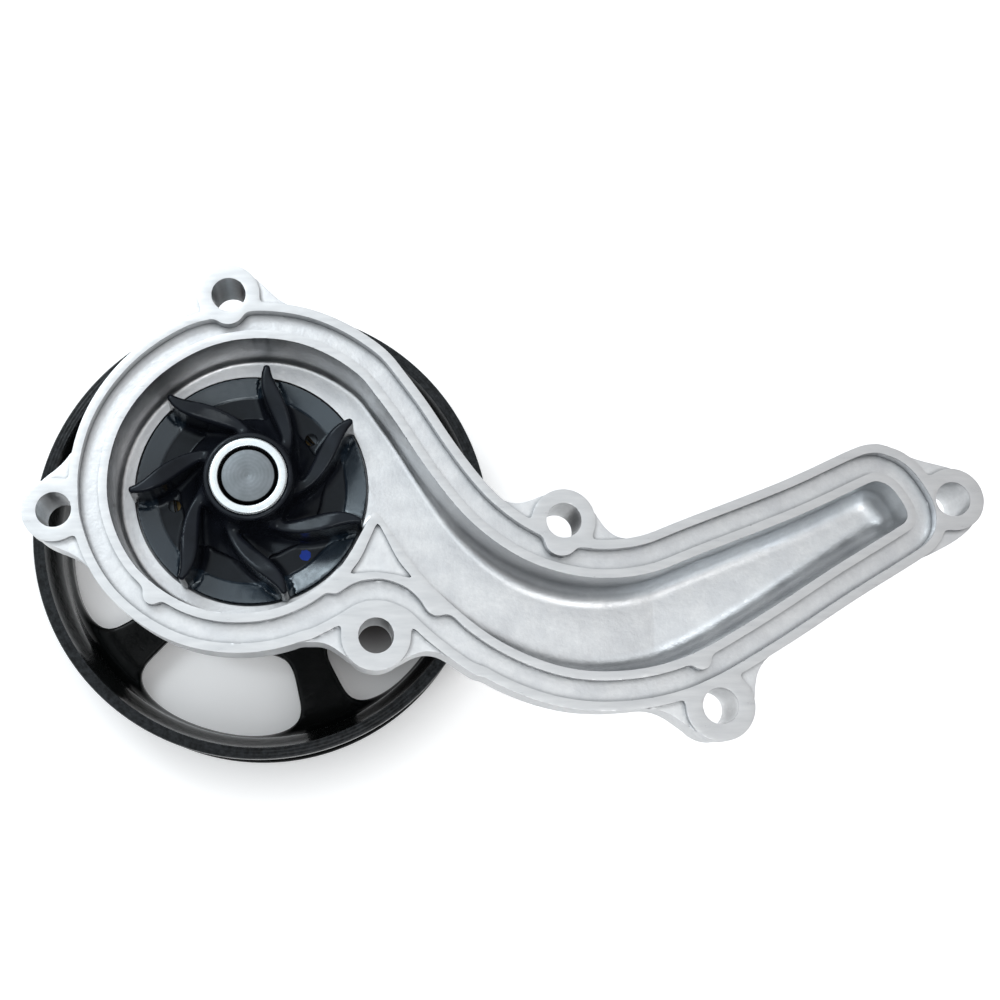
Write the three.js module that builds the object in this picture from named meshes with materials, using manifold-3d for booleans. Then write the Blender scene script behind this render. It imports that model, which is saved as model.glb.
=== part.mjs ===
// Engine coolant pump: die-cast housing with a volute and a curved delivery duct,
// driven through a deep belt pulley. Millimetres, +Z towards the engine.
// The origin is the centre of the shaft nose, on the shaft axis and in the plane of the mounting face.
import * as THREE from "three";
import { mergeVertices } from "three/addons/utils/BufferGeometryUtils.js";
import Module from "manifold-3d";

const wasm = await Module();
wasm.setup();

// ---------- driving dimensions ----------

// Segments to a turn, for large, middling and small round shapes.
const FINE = 40;
const ROUND = 26;
const SMALL = 14;

// Pocket: the radius of the volute wall every 30 degrees, clockwise from the tongue.
const VOLUTE_START_DEG = -20;
const VOLUTE_STEP_DEG = -30;
const VOLUTE_RADII = [30.9, 31.7, 32.8, 33.7, 34.1, 33.8, 33.2, 33.0, 33.9, 35.2, 36.7, 38.2];

// Edge of the duct, from the volute along its upper wall, round the tip and back to the tongue.
const DUCT_EDGE = [
  [28.1, 23.6], [35.2, 13.8], [41.9, 3.4], [48.4, -5.6], [54.2, -12.0], [61.2, -17.6],
  [69.0, -21.8], [78.0, -24.4], [87.0, -25.1], [97.0, -23.7], [108.0, -19.6], [133.0, -10.1],
  [150.5, -2.3], [153.6, -1.9], [156.3, -3.4], [159.2, -8.0], [159.6, -10.6], [157.6, -12.7],
  [140.6, -22.7], [121.3, -34.6], [104.0, -43.7], [88.8, -47.0], [73.7, -45.8], [58.0, -38.8],
  [43.5, -26.4], [35.6, -15.6], [30.6, -8.0],
];
const SPANS_PER_POINT = 3;

const POCKET_DEPTH = 18;
const INNER_LAND = 2.1;
const SEAL_GROOVE = 4.9;
const GROOVE_DEPTH = 3.5;
const OUTER_LAND = 2.2;
const FLANGE_THICKNESS = 6.5;
const CAST_WALL = 3.6;
const BODY_DEPTH = 22;

// The duct's floor and underside rise by this much between two places along X.
const FLOOR_RISE = 5;
const RISE_FROM_X = 100;
const RISE_TO_X = 165;

// Bolt bosses, each with the two flange points that its lowered web runs out to.
const BOSSES = [
  { at: [-5.4, 45.6], radius: 7.3, web: [[-14.5, 39.4], [5.0, 42.4]] },
  { at: [-46.0, -8.2], radius: 7.3, web: [[-41.6, 3.0], [-38.2, -19.0]] },
  { at: [75.9, -11.1], radius: 7.3, web: [[60.0, -6.6], [94.0, -16.2]] },
  { at: [30.6, -38.4], radius: 7.9, web: [[13.0, -40.0], [52.0, -45.0]] },
  { at: [111.4, -55.3], radius: 7.9, web: [[96.0, -53.6], [120.5, -45.4]] },
  { at: [171.2, -6.2], radius: 7.3, web: [[164.0, -0.4], [165.2, -16.0]] },
];
const BOSS_LENGTH = 17.5;
const BOLT_HOLE_RADIUS = 4.2;
const BOSS_WEB_TOP = -3.2;
const BOSS_WEB_BOTTOM = -14;
const BOSS_WEB_SHARE = 0.8;
const BOSS_WEB_ROOT = 0.4;

// The seal groove passes between the tongue and this boss, with a rim on the boss's side.
const TONGUE_BOSS = BOSSES[3].at;
const TONGUE_ARC_RADIUS = 13.4;
const TONGUE_LAND = [[31, -9.5], [19, -27.8], [30.6, -34], [46, -33], [50, -34], [36, -16]];
const TONGUE_GROOVE = [
  [14, -37.4], [19, -35], [22.6, -33], [25, -31.5], [27.7, -30.4], [30.5, -30.1], [33.4, -30.4],
  [36.1, -31.4], [38.5, -32.7], [40.9, -35], [45.1, -38.8], [49.5, -42.2], [55, -46], [50, -34],
  [30, -20], [14, -30],
];
const TONGUE_RIM = [
  [12, -40.1], [18.1, -37.6], [20.2, -36.9], [21.5, -37.3], [22.4, -38.3], [22.9, -39.8], [30.6, -38.4],
  [38, -41.1], [38.6, -39.3], [39.5, -38.4], [40.7, -38.1], [41.8, -38.4], [46.2, -42.3], [52, -46.6],
  [50, -34], [30, -20], [14, -30],
];
const TONGUE_RECESS = [
  [31.1, -11.2], [29.2, -15.4], [26.5, -20.9], [23.8, -24.2], [27.1, -23.6], [30.7, -23.4],
  [35.6, -24.1], [40.1, -25.5], [36.2, -20.9],
];
const TONGUE_RECESS_DEPTH = 1.6;
const LAND_BUMPS = [[-22.0, -28.6], [45.2, -31.6], [107.5, -44.6]];
const LAND_BUMP_RADIUS = 2.4;
const RIM_BUMPS = [[-5.4, 42.0], [75.2, -15.6]];
const RIM_BUMP_RADIUS = 4.2;

// Drive side of the housing.
const SEAL_BOSS_RADIUS = 25;
const SNOUT_RADIUS = 19.5;
const SNOUT_END = -86;
const RIB_COUNT = 6;
const RIB_THICKNESS = 4;
const RIB_REACH = 33.5;
const RIB_END = -52;
const RIB_FOOT = 1.5;
const IMPELLER_RECESS_RADIUS = 29.8;
const IMPELLER_RECESS_DEPTH = 20.6;
const WEEP_HOLE_RADIUS = 2.4;
const WEEP_HOLE_Z = -39.2;
const WEEP_HOLE_REACH = 30;

// Shaft and impeller.
const NOSE_RADIUS = 6.9;
const NOSE_CHAMFER = 0.6;
const SHAFT_RADIUS = 7.96;
const SHOULDER_Z = -19.6;
const SHAFT_END = -102;
const DISC_RADIUS = 28.6;
const DISC_TOP = -17;
const DISC_BOTTOM = -19.2;
const RIM_STEP_RADIUS = 23.8;
const RIM_STEP = 0.7;
const INSERT_RADIUS = 9.5;
const COLLAR_RADIUS = 10.8;
const VANE_COUNT = 7;
const VANE_FIRST_DEG = 82;
const VANE_TOP = -4.5;
const VANE_INNER_RADIUS = 12;
const VANE_OUTER_RADIUS = 28.3;
const VANE_SWEEP_DEG = 42;
const VANE_MIDDLE_THICKNESS = 4.2;
const VANE_END_THICKNESS = 2.4;
const VANE_STEPS = 8;
const BALANCE_HOLES_DEG = [41, -168];
const BALANCE_HOLE_AT = 19.6;
const BALANCE_HOLE_RADIUS = 1.5;

// Coil spring of the mechanical seal.
const SPRING_TURNS = 3;
const SPRING_RADIUS = 14.4;
const SPRING_TOP = -28.9;
const SPRING_BOTTOM = -33.6;
const SPRING_WIRE_RADIUS = 0.5;
const SPRING_STEPS = 12;

// Integral shaft bearing: two rows of balls between the shaft and one long outer race.
const RACE_RADIUS = 15;
const RACE_BORE = 12.2;
const RACE_TOP = -42.6;
const RACE_BOTTOM = -85.4;
const BALL_ROWS_Z = [-52, -76];
const BALLS_PER_ROW = 7;
const BALL_RADIUS = 2.55;
const BALL_PITCH_RADIUS = 10.08;
const GROOVE_RADIUS = 2.75;
const RACEWAY_STEP = THREE.MathUtils.degToRad(14);
const CAGE_HALF_WIDTH = 3.5;
const CAGE_POCKET_RADIUS = 2.85;
const CAGE_BORE = 9.4;
const CAGE_RADIUS = 10.9;
const BEARING_SEALS = [[-45.4, -43.8], [-84.2, -82.6]];

// Pulley.
const RIM_TOP = -72;
const RIM_BOTTOM = -107;
const RIM_RADIUS = 64.6;
const BELT_RADIUS = 63.0;
const RIB_PITCH = 3.56;
const BELT_RIBS = 6;
const BELT_GROOVE_DEPTH = 2.4;
const BELT_CREST = 0.7;
const BELT_MARGIN = 2;
const BELT_CENTRE_Z = -91;
const RIM_BORE = 60.4;
const LIP_BORE = 61.4;
const RIM_LIP = 4;
const WEB_FACE = -98.3;
const WEB_THICKNESS = 3;
const WEB_BEND = 7;
const SPOKES = 5;
const WINDOW_FIRST_DEG = 182;
const WINDOW_HALF_DEG = 27.5;
const WINDOW_INNER_RADIUS = 33;
const WINDOW_OUTER_RADIUS = 56.6;
const WINDOW_ROUNDNESS = 4;
const WINDOW_STEPS = 28;
const HUB_FLANGE_RADIUS = 29;
const HUB_BOSS_RADIUS = 13;
const SPIGOT_RADIUS = 11.8;
const PULLEY_BOLTS = 4;
const PULLEY_BOLT_CIRCLE = 21;
const BOLT_RADIUS = 3;
const BOLT_FLANGE_RADIUS = 6.6;
const BOLT_HEX_RADIUS = 5.2;
const BOLT_HEAD_HEIGHT = 5;
const BOLT_TIP = -94.5;

// Half of the gap that fitted pieces keep, and how far a cutting shape runs past a face.
const GAP = 0.15;
const PAST = 1;

const paint = (color, roughness, metalness) =>
  new THREE.MeshStandardMaterial({ color, roughness, metalness });
const CAST_ALUMINIUM = paint(0xd3d9de, 0.42, 0.85);
const BLACK_RESIN = paint(0x0d0d10, 0.22, 0.05);
const ZINC_STEEL = paint(0xd4e2e8, 0.24, 0.9);
const SHAFT_STEEL = paint(0x82898e, 0.38, 0.95);
const BEARING_STEEL = paint(0xb9bec3, 0.2, 0.95);
const BLACK_PAINT = paint(0x0f1010, 0.35, 0.1);
const RUBBER = paint(0x161616, 0.8, 0);
const CARBON = paint(0x2a2b2e, 0.55, 0.1);
const CERAMIC = paint(0xe8e4da, 0.3, 0);
const BRASS = paint(0xb99a52, 0.35, 0.9);
const CAGE_RESIN = paint(0x8f2f24, 0.6, 0);

// ---------- shape helpers ----------

const radians = THREE.MathUtils.degToRad;
const polar = (radius, degrees) =>
  [radius * Math.cos(radians(degrees)), radius * Math.sin(radians(degrees))];
const vectors = (points) => points.map(([x, y]) => new THREE.Vector2(x, y));

function solid(geometry) {
  const bare = geometry.clone();
  bare.deleteAttribute("normal");
  bare.deleteAttribute("uv");
  const merged = mergeVertices(bare, 1e-4);
  const vertProperties = new Float32Array(merged.attributes.position.array);
  const triVerts = new Uint32Array(withoutSlivers(merged.index.array));
  const body = new wasm.Manifold(new wasm.Mesh({ numProp: 3, vertProperties, triVerts }));
  if (body.volume() > 0) return body;
  triVerts.reverse();
  return new wasm.Manifold(new wasm.Mesh({ numProp: 3, vertProperties, triVerts }));
}

// Drops the triangles that merging has left with two equal corners.
function withoutSlivers(index) {
  const kept = [];
  for (let i = 0; i < index.length; i += 3) {
    const [a, b, c] = [index[i], index[i + 1], index[i + 2]];
    if (a !== b && b !== c && c !== a) kept.push(a, b, c);
  }
  return kept;
}

function prism(points, low, high) {
  const geometry = new THREE.ExtrudeGeometry(new THREE.Shape(vectors(points)), {
    depth: high - low,
    bevelEnabled: false,
  });
  return solid(geometry.translate(0, 0, low));
}

// Turns a closed profile of [radius, z] pairs about the shaft axis.
function turned(profile, segments = ROUND) {
  const closed = [...profile, profile[0]];
  return solid(new THREE.LatheGeometry(vectors(closed), segments).rotateX(Math.PI / 2));
}

function ring(inner, outer, low, high, segments = ROUND) {
  return turned([[inner, low], [outer, low], [outer, high], [inner, high]], segments);
}

function rod(radius, low, high, [x, y] = [0, 0], segments = SMALL) {
  const geometry = new THREE.CylinderGeometry(radius, radius, high - low, segments).rotateX(Math.PI / 2);
  return solid(geometry.translate(x, y, (low + high) / 2));
}

function joined(bodies) {
  return bodies.reduce((whole, body) => whole.add(body));
}

function splinePoints(points) {
  return new THREE.SplineCurve(vectors(points)).getPoints((points.length - 1) * SPANS_PER_POINT);
}

// ---------- outlines of the pocket, grown outwards by a margin ----------

function voluteArea(margin, low, high) {
  const corners = VOLUTE_RADII.map((radius, i) =>
    polar(radius + margin, VOLUTE_START_DEG + i * VOLUTE_STEP_DEG));
  const wall = splinePoints(corners).map((p) => [p.x, p.y]);
  return prism(wall, low, high);
}

function ductArea(margin, low, high) {
  const edge = splinePoints(DUCT_EDGE);
  const moved = edge.map((point, i) => {
    const before = edge[Math.max(i - 1, 0)];
    const after = edge[Math.min(i + 1, edge.length - 1)];
    const along = after.clone().sub(before).normalize();
    return [point.x - along.y * margin, point.y + along.x * margin];
  });
  return prism([...moved, [0, 0]], low, high);
}

const pocketArea = (margin, low, high) =>
  voluteArea(margin, low, high).add(ductArea(margin, low, high));

// What lies below a level that rises along the duct.
function belowRise(level) {
  const outline = [
    [RISE_FROM_X, level], [RISE_TO_X, level + FLOOR_RISE], [RISE_TO_X, level - 2 * PAST],
    [RISE_FROM_X, level - 2 * PAST],
  ];
  const wedge = new THREE.ExtrudeGeometry(new THREE.Shape(vectors(outline)), {
    depth: 2 * RISE_FROM_X,
    bevelEnabled: false,
  });
  return solid(wedge.translate(0, 0, -RISE_FROM_X).rotateX(Math.PI / 2));
}

// ---------- housing ----------

function sealGroove() {
  const low = -GROOVE_DEPTH - PAST;
  const high = 2 * PAST;
  const bumps = (places, radius) => joined(places.map((place) => rod(radius, low, high, place)));
  const tongue = prism(TONGUE_LAND, low, high)
    .subtract(rod(TONGUE_ARC_RADIUS, low - PAST, high + PAST, TONGUE_BOSS, ROUND));
  const land = pocketArea(INNER_LAND, low, high)
    .add(tongue)
    .add(bumps(LAND_BUMPS, LAND_BUMP_RADIUS));
  return pocketArea(INNER_LAND + SEAL_GROOVE, -GROOVE_DEPTH, PAST)
    .add(prism(TONGUE_GROOVE, -GROOVE_DEPTH, PAST))
    .subtract(bumps(RIM_BUMPS, RIM_BUMP_RADIUS))
    .subtract(land);
}

// The outline runs from the boss to the two flange points, and on to a root inside the flange.
function bossWeb({ at, radius, web: [left, right] }) {
  const centre = new THREE.Vector2(...at);
  const [leftEnd, rightEnd] = vectors([left, right]);
  const reach = BOSS_WEB_SHARE * radius;
  const side = (end) => end.clone().sub(centre).setLength(reach).add(centre).toArray();
  const root = leftEnd.clone().add(rightEnd).divideScalar(2).sub(centre)
    .multiplyScalar(1 + BOSS_WEB_ROOT).add(centre).toArray();
  return prism([at, side(leftEnd), left, root, right, side(rightEnd)], BOSS_WEB_BOTTOM, BOSS_WEB_TOP);
}

function rib(index) {
  const top = PAST - BODY_DEPTH;
  const outline = [
    [SNOUT_RADIUS - RIB_FOOT, top], [RIB_REACH, top],
    [SNOUT_RADIUS + RIB_FOOT, RIB_END], [SNOUT_RADIUS - RIB_FOOT, RIB_END],
  ];
  const plate = new THREE.ExtrudeGeometry(new THREE.Shape(vectors(outline)), {
    depth: RIB_THICKNESS,
    bevelEnabled: false,
  });
  plate.translate(0, 0, -RIB_THICKNESS / 2).rotateX(Math.PI / 2);
  return solid(plate.rotateZ((index * 2 * Math.PI) / RIB_COUNT));
}

// From the impeller recess through the seal seat and the slinger chamber to the bearing bore.
function shaftTunnel() {
  return turned([
    [0, PAST], [IMPELLER_RECESS_RADIUS, PAST], [IMPELLER_RECESS_RADIUS, -IMPELLER_RECESS_DEPTH],
    [20, -IMPELLER_RECESS_DEPTH], [20, -25.4], [17.2, -25.4], [17.2, -36.2], [13, -36.2],
    [13, -42.3], [RACE_RADIUS + GAP, -42.3], [RACE_RADIUS + GAP, SNOUT_END - PAST], [0, SNOUT_END - PAST],
  ], FINE);
}

function weepHole() {
  const hole = new THREE.CylinderGeometry(WEEP_HOLE_RADIUS, WEEP_HOLE_RADIUS, WEEP_HOLE_REACH, SMALL);
  return solid(hole.translate(0, -WEEP_HOLE_REACH / 2, WEEP_HOLE_Z));
}

function housing() {
  const flangeWidth = INNER_LAND + SEAL_GROOVE + OUTER_LAND;
  const snout = turned([
    [0, PAST - BODY_DEPTH], [SEAL_BOSS_RADIUS, PAST - BODY_DEPTH], [SEAL_BOSS_RADIUS, -35],
    [SNOUT_RADIUS + 0.8, -42], [SNOUT_RADIUS, SNOUT_END], [0, SNOUT_END],
  ], FINE);
  const bosses = BOSSES.map(({ at, radius }) => rod(radius, -BOSS_LENGTH, 0, at, ROUND));
  const webs = BOSSES.map(bossWeb);
  const ribs = Array.from({ length: RIB_COUNT }, (_, i) => rib(i));
  const casting = joined([
    pocketArea(flangeWidth, -FLANGE_THICKNESS, 0),
    prism(TONGUE_RIM, -FLANGE_THICKNESS, 0),
    pocketArea(CAST_WALL, -BODY_DEPTH, -PAST).subtract(belowRise(-BODY_DEPTH)),
    snout, ...bosses, ...webs, ...ribs,
  ]);
  const holes = BOSSES.map(({ at }) => rod(BOLT_HOLE_RADIUS, -BOSS_LENGTH - PAST, PAST, at));
  const cuts = joined([
    pocketArea(0, -POCKET_DEPTH, PAST).subtract(belowRise(-POCKET_DEPTH)),
    sealGroove(), shaftTunnel(), weepHole(),
    prism(TONGUE_RECESS, -TONGUE_RECESS_DEPTH, PAST), ...holes,
  ]);
  return casting.subtract(cuts);
}

// ---------- shaft, impeller and seal ----------

// The arc of a ball groove in the shaft (side -1) or in the outer race (side 1), from low to high z.
function raceway(side, z) {
  return [-2, -1, 0, 1, 2].map((step) => {
    const angle = step * RACEWAY_STEP;
    return [BALL_PITCH_RADIUS + side * GROOVE_RADIUS * Math.cos(angle), z + GROOVE_RADIUS * Math.sin(angle)];
  });
}

function shaft() {
  const grooves = BALL_ROWS_Z.flatMap((z) => raceway(-1, z).reverse());
  return turned([
    [0, 0], [NOSE_RADIUS - NOSE_CHAMFER, 0], [NOSE_RADIUS, -NOSE_CHAMFER], [NOSE_RADIUS, SHOULDER_Z],
    [SHAFT_RADIUS, SHOULDER_Z], ...grooves, [SHAFT_RADIUS, SHAFT_END], [0, SHAFT_END],
  ]);
}

// A vane runs from its tip, where t is 0, inwards to the hub, where t is 1.
function vane(index) {
  const { lerp } = THREE.MathUtils;
  const centre = (t) => {
    const sweep = VANE_SWEEP_DEG * t * t;
    const degrees = VANE_FIRST_DEG - (index * 360) / VANE_COUNT - sweep;
    return new THREE.Vector2(...polar(lerp(VANE_OUTER_RADIUS, VANE_INNER_RADIUS, t), degrees));
  };
  const side = (sign) => Array.from({ length: VANE_STEPS + 1 }, (_, i) => {
    const t = i / VANE_STEPS;
    const across = centre(t).sub(centre(t - 1 / VANE_STEPS)).rotateAround(new THREE.Vector2(), Math.PI / 2);
    const thickness = lerp(VANE_END_THICKNESS, VANE_MIDDLE_THICKNESS, Math.sin(Math.PI * t));
    return centre(t).add(across.setLength((sign * thickness) / 2)).toArray();
  });
  return prism([...side(1), ...side(-1).reverse()], DISC_TOP - PAST, VANE_TOP);
}

function impeller() {
  const bore = INSERT_RADIUS + GAP;
  const body = turned([
    [bore, DISC_BOTTOM], [DISC_RADIUS, DISC_BOTTOM], [DISC_RADIUS, DISC_TOP - RIM_STEP],
    [RIM_STEP_RADIUS, DISC_TOP - RIM_STEP], [RIM_STEP_RADIUS, DISC_TOP], [16.5, DISC_TOP + 0.8],
    [13.4, DISC_TOP + 4], [11.9, -6], [COLLAR_RADIUS, -1.2], [COLLAR_RADIUS - 0.6, -0.5], [bore, -0.5],
  ], FINE);
  const vanes = Array.from({ length: VANE_COUNT }, (_, i) => vane(i));
  const hole = (degrees) => rod(BALANCE_HOLE_RADIUS, DISC_BOTTOM - PAST, 0, polar(BALANCE_HOLE_AT, degrees));
  const bores = [rod(bore, DISC_BOTTOM - PAST, PAST, [0, 0], ROUND), ...BALANCE_HOLES_DEG.map(hole)];
  return joined([body, ...vanes]).subtract(joined(bores));
}

const hubInsert = () => turned([
  [NOSE_RADIUS + GAP, -18.9], [INSERT_RADIUS, -18.9], [INSERT_RADIUS, -0.4], [INSERT_RADIUS - 0.4, 0],
  [NOSE_RADIUS + 0.5, 0], [NOSE_RADIUS + GAP, -0.6],
]);

const seatBoot = () => turned([
  [SHAFT_RADIUS + GAP, -24], [9.3, -24], [9.3, -20.9], [14.0, -20.9], [14.0, -23.6], [14.8, -23.6],
  [14.8, -20], [SHAFT_RADIUS + GAP, -20],
]);

function sealSpring() {
  const steps = SPRING_TURNS * SPRING_STEPS;
  const points = Array.from({ length: steps + 1 }, (_, i) => {
    const z = THREE.MathUtils.lerp(SPRING_TOP, SPRING_BOTTOM, i / steps);
    return new THREE.Vector3(...polar(SPRING_RADIUS, (i * 360) / SPRING_STEPS), z);
  });
  const wire = new THREE.Shape().absarc(0, 0, SPRING_WIRE_RADIUS, 0, 2 * Math.PI);
  return solid(new THREE.ExtrudeGeometry(wire, {
    extrudePath: new THREE.CatmullRomCurve3(points),
    steps,
    curveSegments: 4,
    bevelEnabled: false,
  }));
}

const bellows = () => turned([
  [9.2, -34.2], [12.6, -34.2], [12.6, -32.8], [10.6, -32], [12.6, -31.2], [12.6, -28.9], [9.2, -28.9],
]);

const sealCup = () => turned([
  [9.4, -35.8], [17.0, -35.8], [17.0, -25.2], [19.6, -25.2], [19.6, -24.5], [16.2, -24.5], [16.2, -35.0],
  [9.4, -35.0],
]);

const slinger = () => turned([
  [SHAFT_RADIUS + GAP, -41.2], [9.6, -41.2], [11.8, -38.2], [11.8, -37.4], [SHAFT_RADIUS + GAP, -39],
]);

// ---------- bearing ----------

function outerRace() {
  const [upper, lower] = BALL_ROWS_Z;
  return turned([
    [RACE_BORE, RACE_BOTTOM], ...raceway(1, lower), ...raceway(1, upper), [RACE_BORE, RACE_TOP],
    [RACE_RADIUS, RACE_TOP], [RACE_RADIUS, RACE_BOTTOM],
  ]);
}

function ball(row, index) {
  const [x, y] = polar(BALL_PITCH_RADIUS, (index * 360) / BALLS_PER_ROW);
  const geometry = new THREE.SphereGeometry(BALL_RADIUS, 10, 6).rotateX(Math.PI / 2);
  return solid(geometry.translate(x, y, BALL_ROWS_Z[row]));
}

function cage(row) {
  const z = BALL_ROWS_Z[row];
  const band = ring(CAGE_BORE, CAGE_RADIUS, z - CAGE_HALF_WIDTH, z + CAGE_HALF_WIDTH);
  const pockets = Array.from({ length: BALLS_PER_ROW }, (_, i) => {
    const pocket = new THREE.CylinderGeometry(CAGE_POCKET_RADIUS, CAGE_POCKET_RADIUS, 6, SMALL);
    pocket.translate(0, -BALL_PITCH_RADIUS, z).rotateZ(Math.PI / 2 + (i * 2 * Math.PI) / BALLS_PER_ROW);
    return solid(pocket);
  });
  return band.subtract(joined(pockets));
}

// ---------- drive end ----------

function pulleyHub() {
  const body = turned([
    [SHAFT_RADIUS + GAP, -102.4], [SPIGOT_RADIUS, -102.4], [SPIGOT_RADIUS, WEB_FACE + GAP],
    [HUB_FLANGE_RADIUS, WEB_FACE + GAP], [HUB_FLANGE_RADIUS, -94], [HUB_BOSS_RADIUS + 1, -93.4],
    [HUB_BOSS_RADIUS, -88], [SHAFT_RADIUS + GAP, -88],
  ]);
  const holes = boltPlaces().map((at) => rod(BOLT_RADIUS + GAP, SHAFT_END, -90, at));
  return body.subtract(joined(holes));
}

const boltPlaces = () => Array.from({ length: PULLEY_BOLTS }, (_, i) =>
  polar(PULLEY_BOLT_CIRCLE, 45 + (i * 360) / PULLEY_BOLTS));

function windowOutline(index) {
  const middle = (WINDOW_INNER_RADIUS + WINDOW_OUTER_RADIUS) / 2;
  const reach = (WINDOW_OUTER_RADIUS - WINDOW_INNER_RADIUS) / 2;
  const soften = (value) => Math.sign(value) * Math.abs(value) ** (2 / WINDOW_ROUNDNESS);
  return Array.from({ length: WINDOW_STEPS }, (_, i) => {
    const turn = (i * 2 * Math.PI) / WINDOW_STEPS;
    const degrees = WINDOW_FIRST_DEG + (index * 360) / SPOKES + WINDOW_HALF_DEG * soften(Math.cos(turn));
    return polar(middle + reach * soften(Math.sin(turn)), degrees);
  });
}

function beltProfile() {
  const first = BELT_CENTRE_Z - (BELT_RIBS * RIB_PITCH) / 2;
  const last = first + BELT_RIBS * RIB_PITCH;
  const grooves = Array.from({ length: BELT_RIBS }, (_, i) => {
    const middle = first + (i + 0.5) * RIB_PITCH;
    const half = (RIB_PITCH - BELT_CREST) / 2;
    return [
      [BELT_RADIUS, middle - half], [BELT_RADIUS - BELT_GROOVE_DEPTH, middle], [BELT_RADIUS, middle + half],
    ];
  });
  return [[BELT_RADIUS, first - BELT_MARGIN], ...grooves.flat(), [BELT_RADIUS, last + BELT_MARGIN]];
}

function pulley() {
  const back = WEB_FACE - WEB_THICKNESS;
  const wall = BELT_RADIUS - BELT_GROOVE_DEPTH - 2.4;
  const body = turned([
    [SPIGOT_RADIUS + GAP, back], [wall - 3, back], [wall, back - 2], [wall + 1, RIM_BOTTOM],
    [RIM_RADIUS, RIM_BOTTOM], [RIM_RADIUS, RIM_BOTTOM + 2.2], ...beltProfile(),
    [RIM_RADIUS, RIM_TOP - RIM_LIP], [RIM_RADIUS, RIM_TOP], [LIP_BORE, RIM_TOP],
    [RIM_BORE - 2, RIM_TOP - 2 * RIM_LIP], [RIM_BORE - 2.2, WEB_FACE + WEB_BEND],
    [RIM_BORE - 4.2, WEB_FACE + 2], [RIM_BORE - 2 - WEB_BEND, WEB_FACE], [SPIGOT_RADIUS + GAP, WEB_FACE],
  ], FINE);
  const windows = Array.from({ length: SPOKES }, (_, i) =>
    prism(windowOutline(i), back - PAST, WEB_FACE + WEB_BEND));
  const holes = boltPlaces().map((at) => rod(BOLT_RADIUS + 3 * GAP, back - PAST, WEB_FACE + PAST, at));
  return body.subtract(joined([...windows, ...holes]));
}

function pulleyBolt(at) {
  const seat = WEB_FACE - WEB_THICKNESS - GAP;
  return joined([
    rod(BOLT_RADIUS, seat - PAST, BOLT_TIP, at),
    rod(BOLT_FLANGE_RADIUS, seat - PAST, seat, at),
    rod(BOLT_HEX_RADIUS, seat - BOLT_HEAD_HEIGHT, seat - PAST / 2, at, 6),
  ]);
}

// ---------- assembly ----------

function piece(name, body, material) {
  const mesh = body.getMesh();
  const geometry = new THREE.BufferGeometry();
  geometry.setAttribute("position", new THREE.BufferAttribute(new Float32Array(mesh.vertProperties), 3));
  geometry.setIndex(new THREE.BufferAttribute(new Uint32Array(mesh.triVerts), 1));
  const part = new THREE.Mesh(geometry, material);
  part.name = name;
  return part;
}

const [upperSeal, lowerSeal] = BEARING_SEALS.map(([low, high]) =>
  ring(SHAFT_RADIUS + 3 * GAP, RACE_BORE - GAP, low, high));

const housingGroup = new THREE.Group();
housingGroup.add(
  piece("pump_housing", housing(), CAST_ALUMINIUM),
  piece("bearing_outer_race", outerRace(), BEARING_STEEL),
  piece("bearing_seal_upper", upperSeal, RUBBER),
  piece("bearing_seal_lower", lowerSeal, RUBBER),
  piece("seal_cup", sealCup(), BRASS),
  piece("seal_bellows", bellows(), RUBBER),
  piece("seal_spring", sealSpring(), SHAFT_STEEL),
  piece("seal_carbon_ring", ring(10, 13.2, -28.7, -24.9), CARBON),
);

const rotorGroup = new THREE.Group();
rotorGroup.add(
  piece("shaft", shaft(), SHAFT_STEEL),
  piece("impeller", impeller(), BLACK_RESIN),
  piece("impeller_hub_insert", hubInsert(), ZINC_STEEL),
  piece("seal_seat_boot", seatBoot(), RUBBER),
  piece("seal_ceramic_seat", ring(9.5, 13.8, -24.6, -21.1), CERAMIC),
  piece("shaft_slinger", slinger(), RUBBER),
  piece("pulley_hub", pulleyHub(), ZINC_STEEL),
  piece("pulley", pulley(), BLACK_PAINT),
  ...boltPlaces().map((at, i) => piece(`pulley_bolt_${i + 1}`, pulleyBolt(at), ZINC_STEEL)),
);

const ballGroups = BALL_ROWS_Z.map((_, row) => {
  const side = ["upper", "lower"][row];
  const group = new THREE.Group();
  group.add(piece(`ball_cage_${side}`, cage(row), CAGE_RESIN));
  for (let i = 0; i < BALLS_PER_ROW; i += 1) {
    group.add(piece(`ball_${side}_${i + 1}`, ball(row, i), BEARING_STEEL));
  }
  return group;
});

const waterPump = new THREE.Group();
waterPump.add(housingGroup, rotorGroup, ...ballGroups);

export default waterPump;
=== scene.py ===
"""Engine coolant pump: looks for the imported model, in its frame.

The casting, impeller, pulley, bolts and cages are signed distance fields in millimetres, with
fillets, draft and rounded edges as part of the field, made into meshes by dual contouring. The
casting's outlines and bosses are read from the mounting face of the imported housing. Round pieces
are turned from profiles of radius and height, with broken edges.
"""
import math

import bmesh
import bpy
import numpy as np
from mathutils import Matrix, Vector


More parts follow.
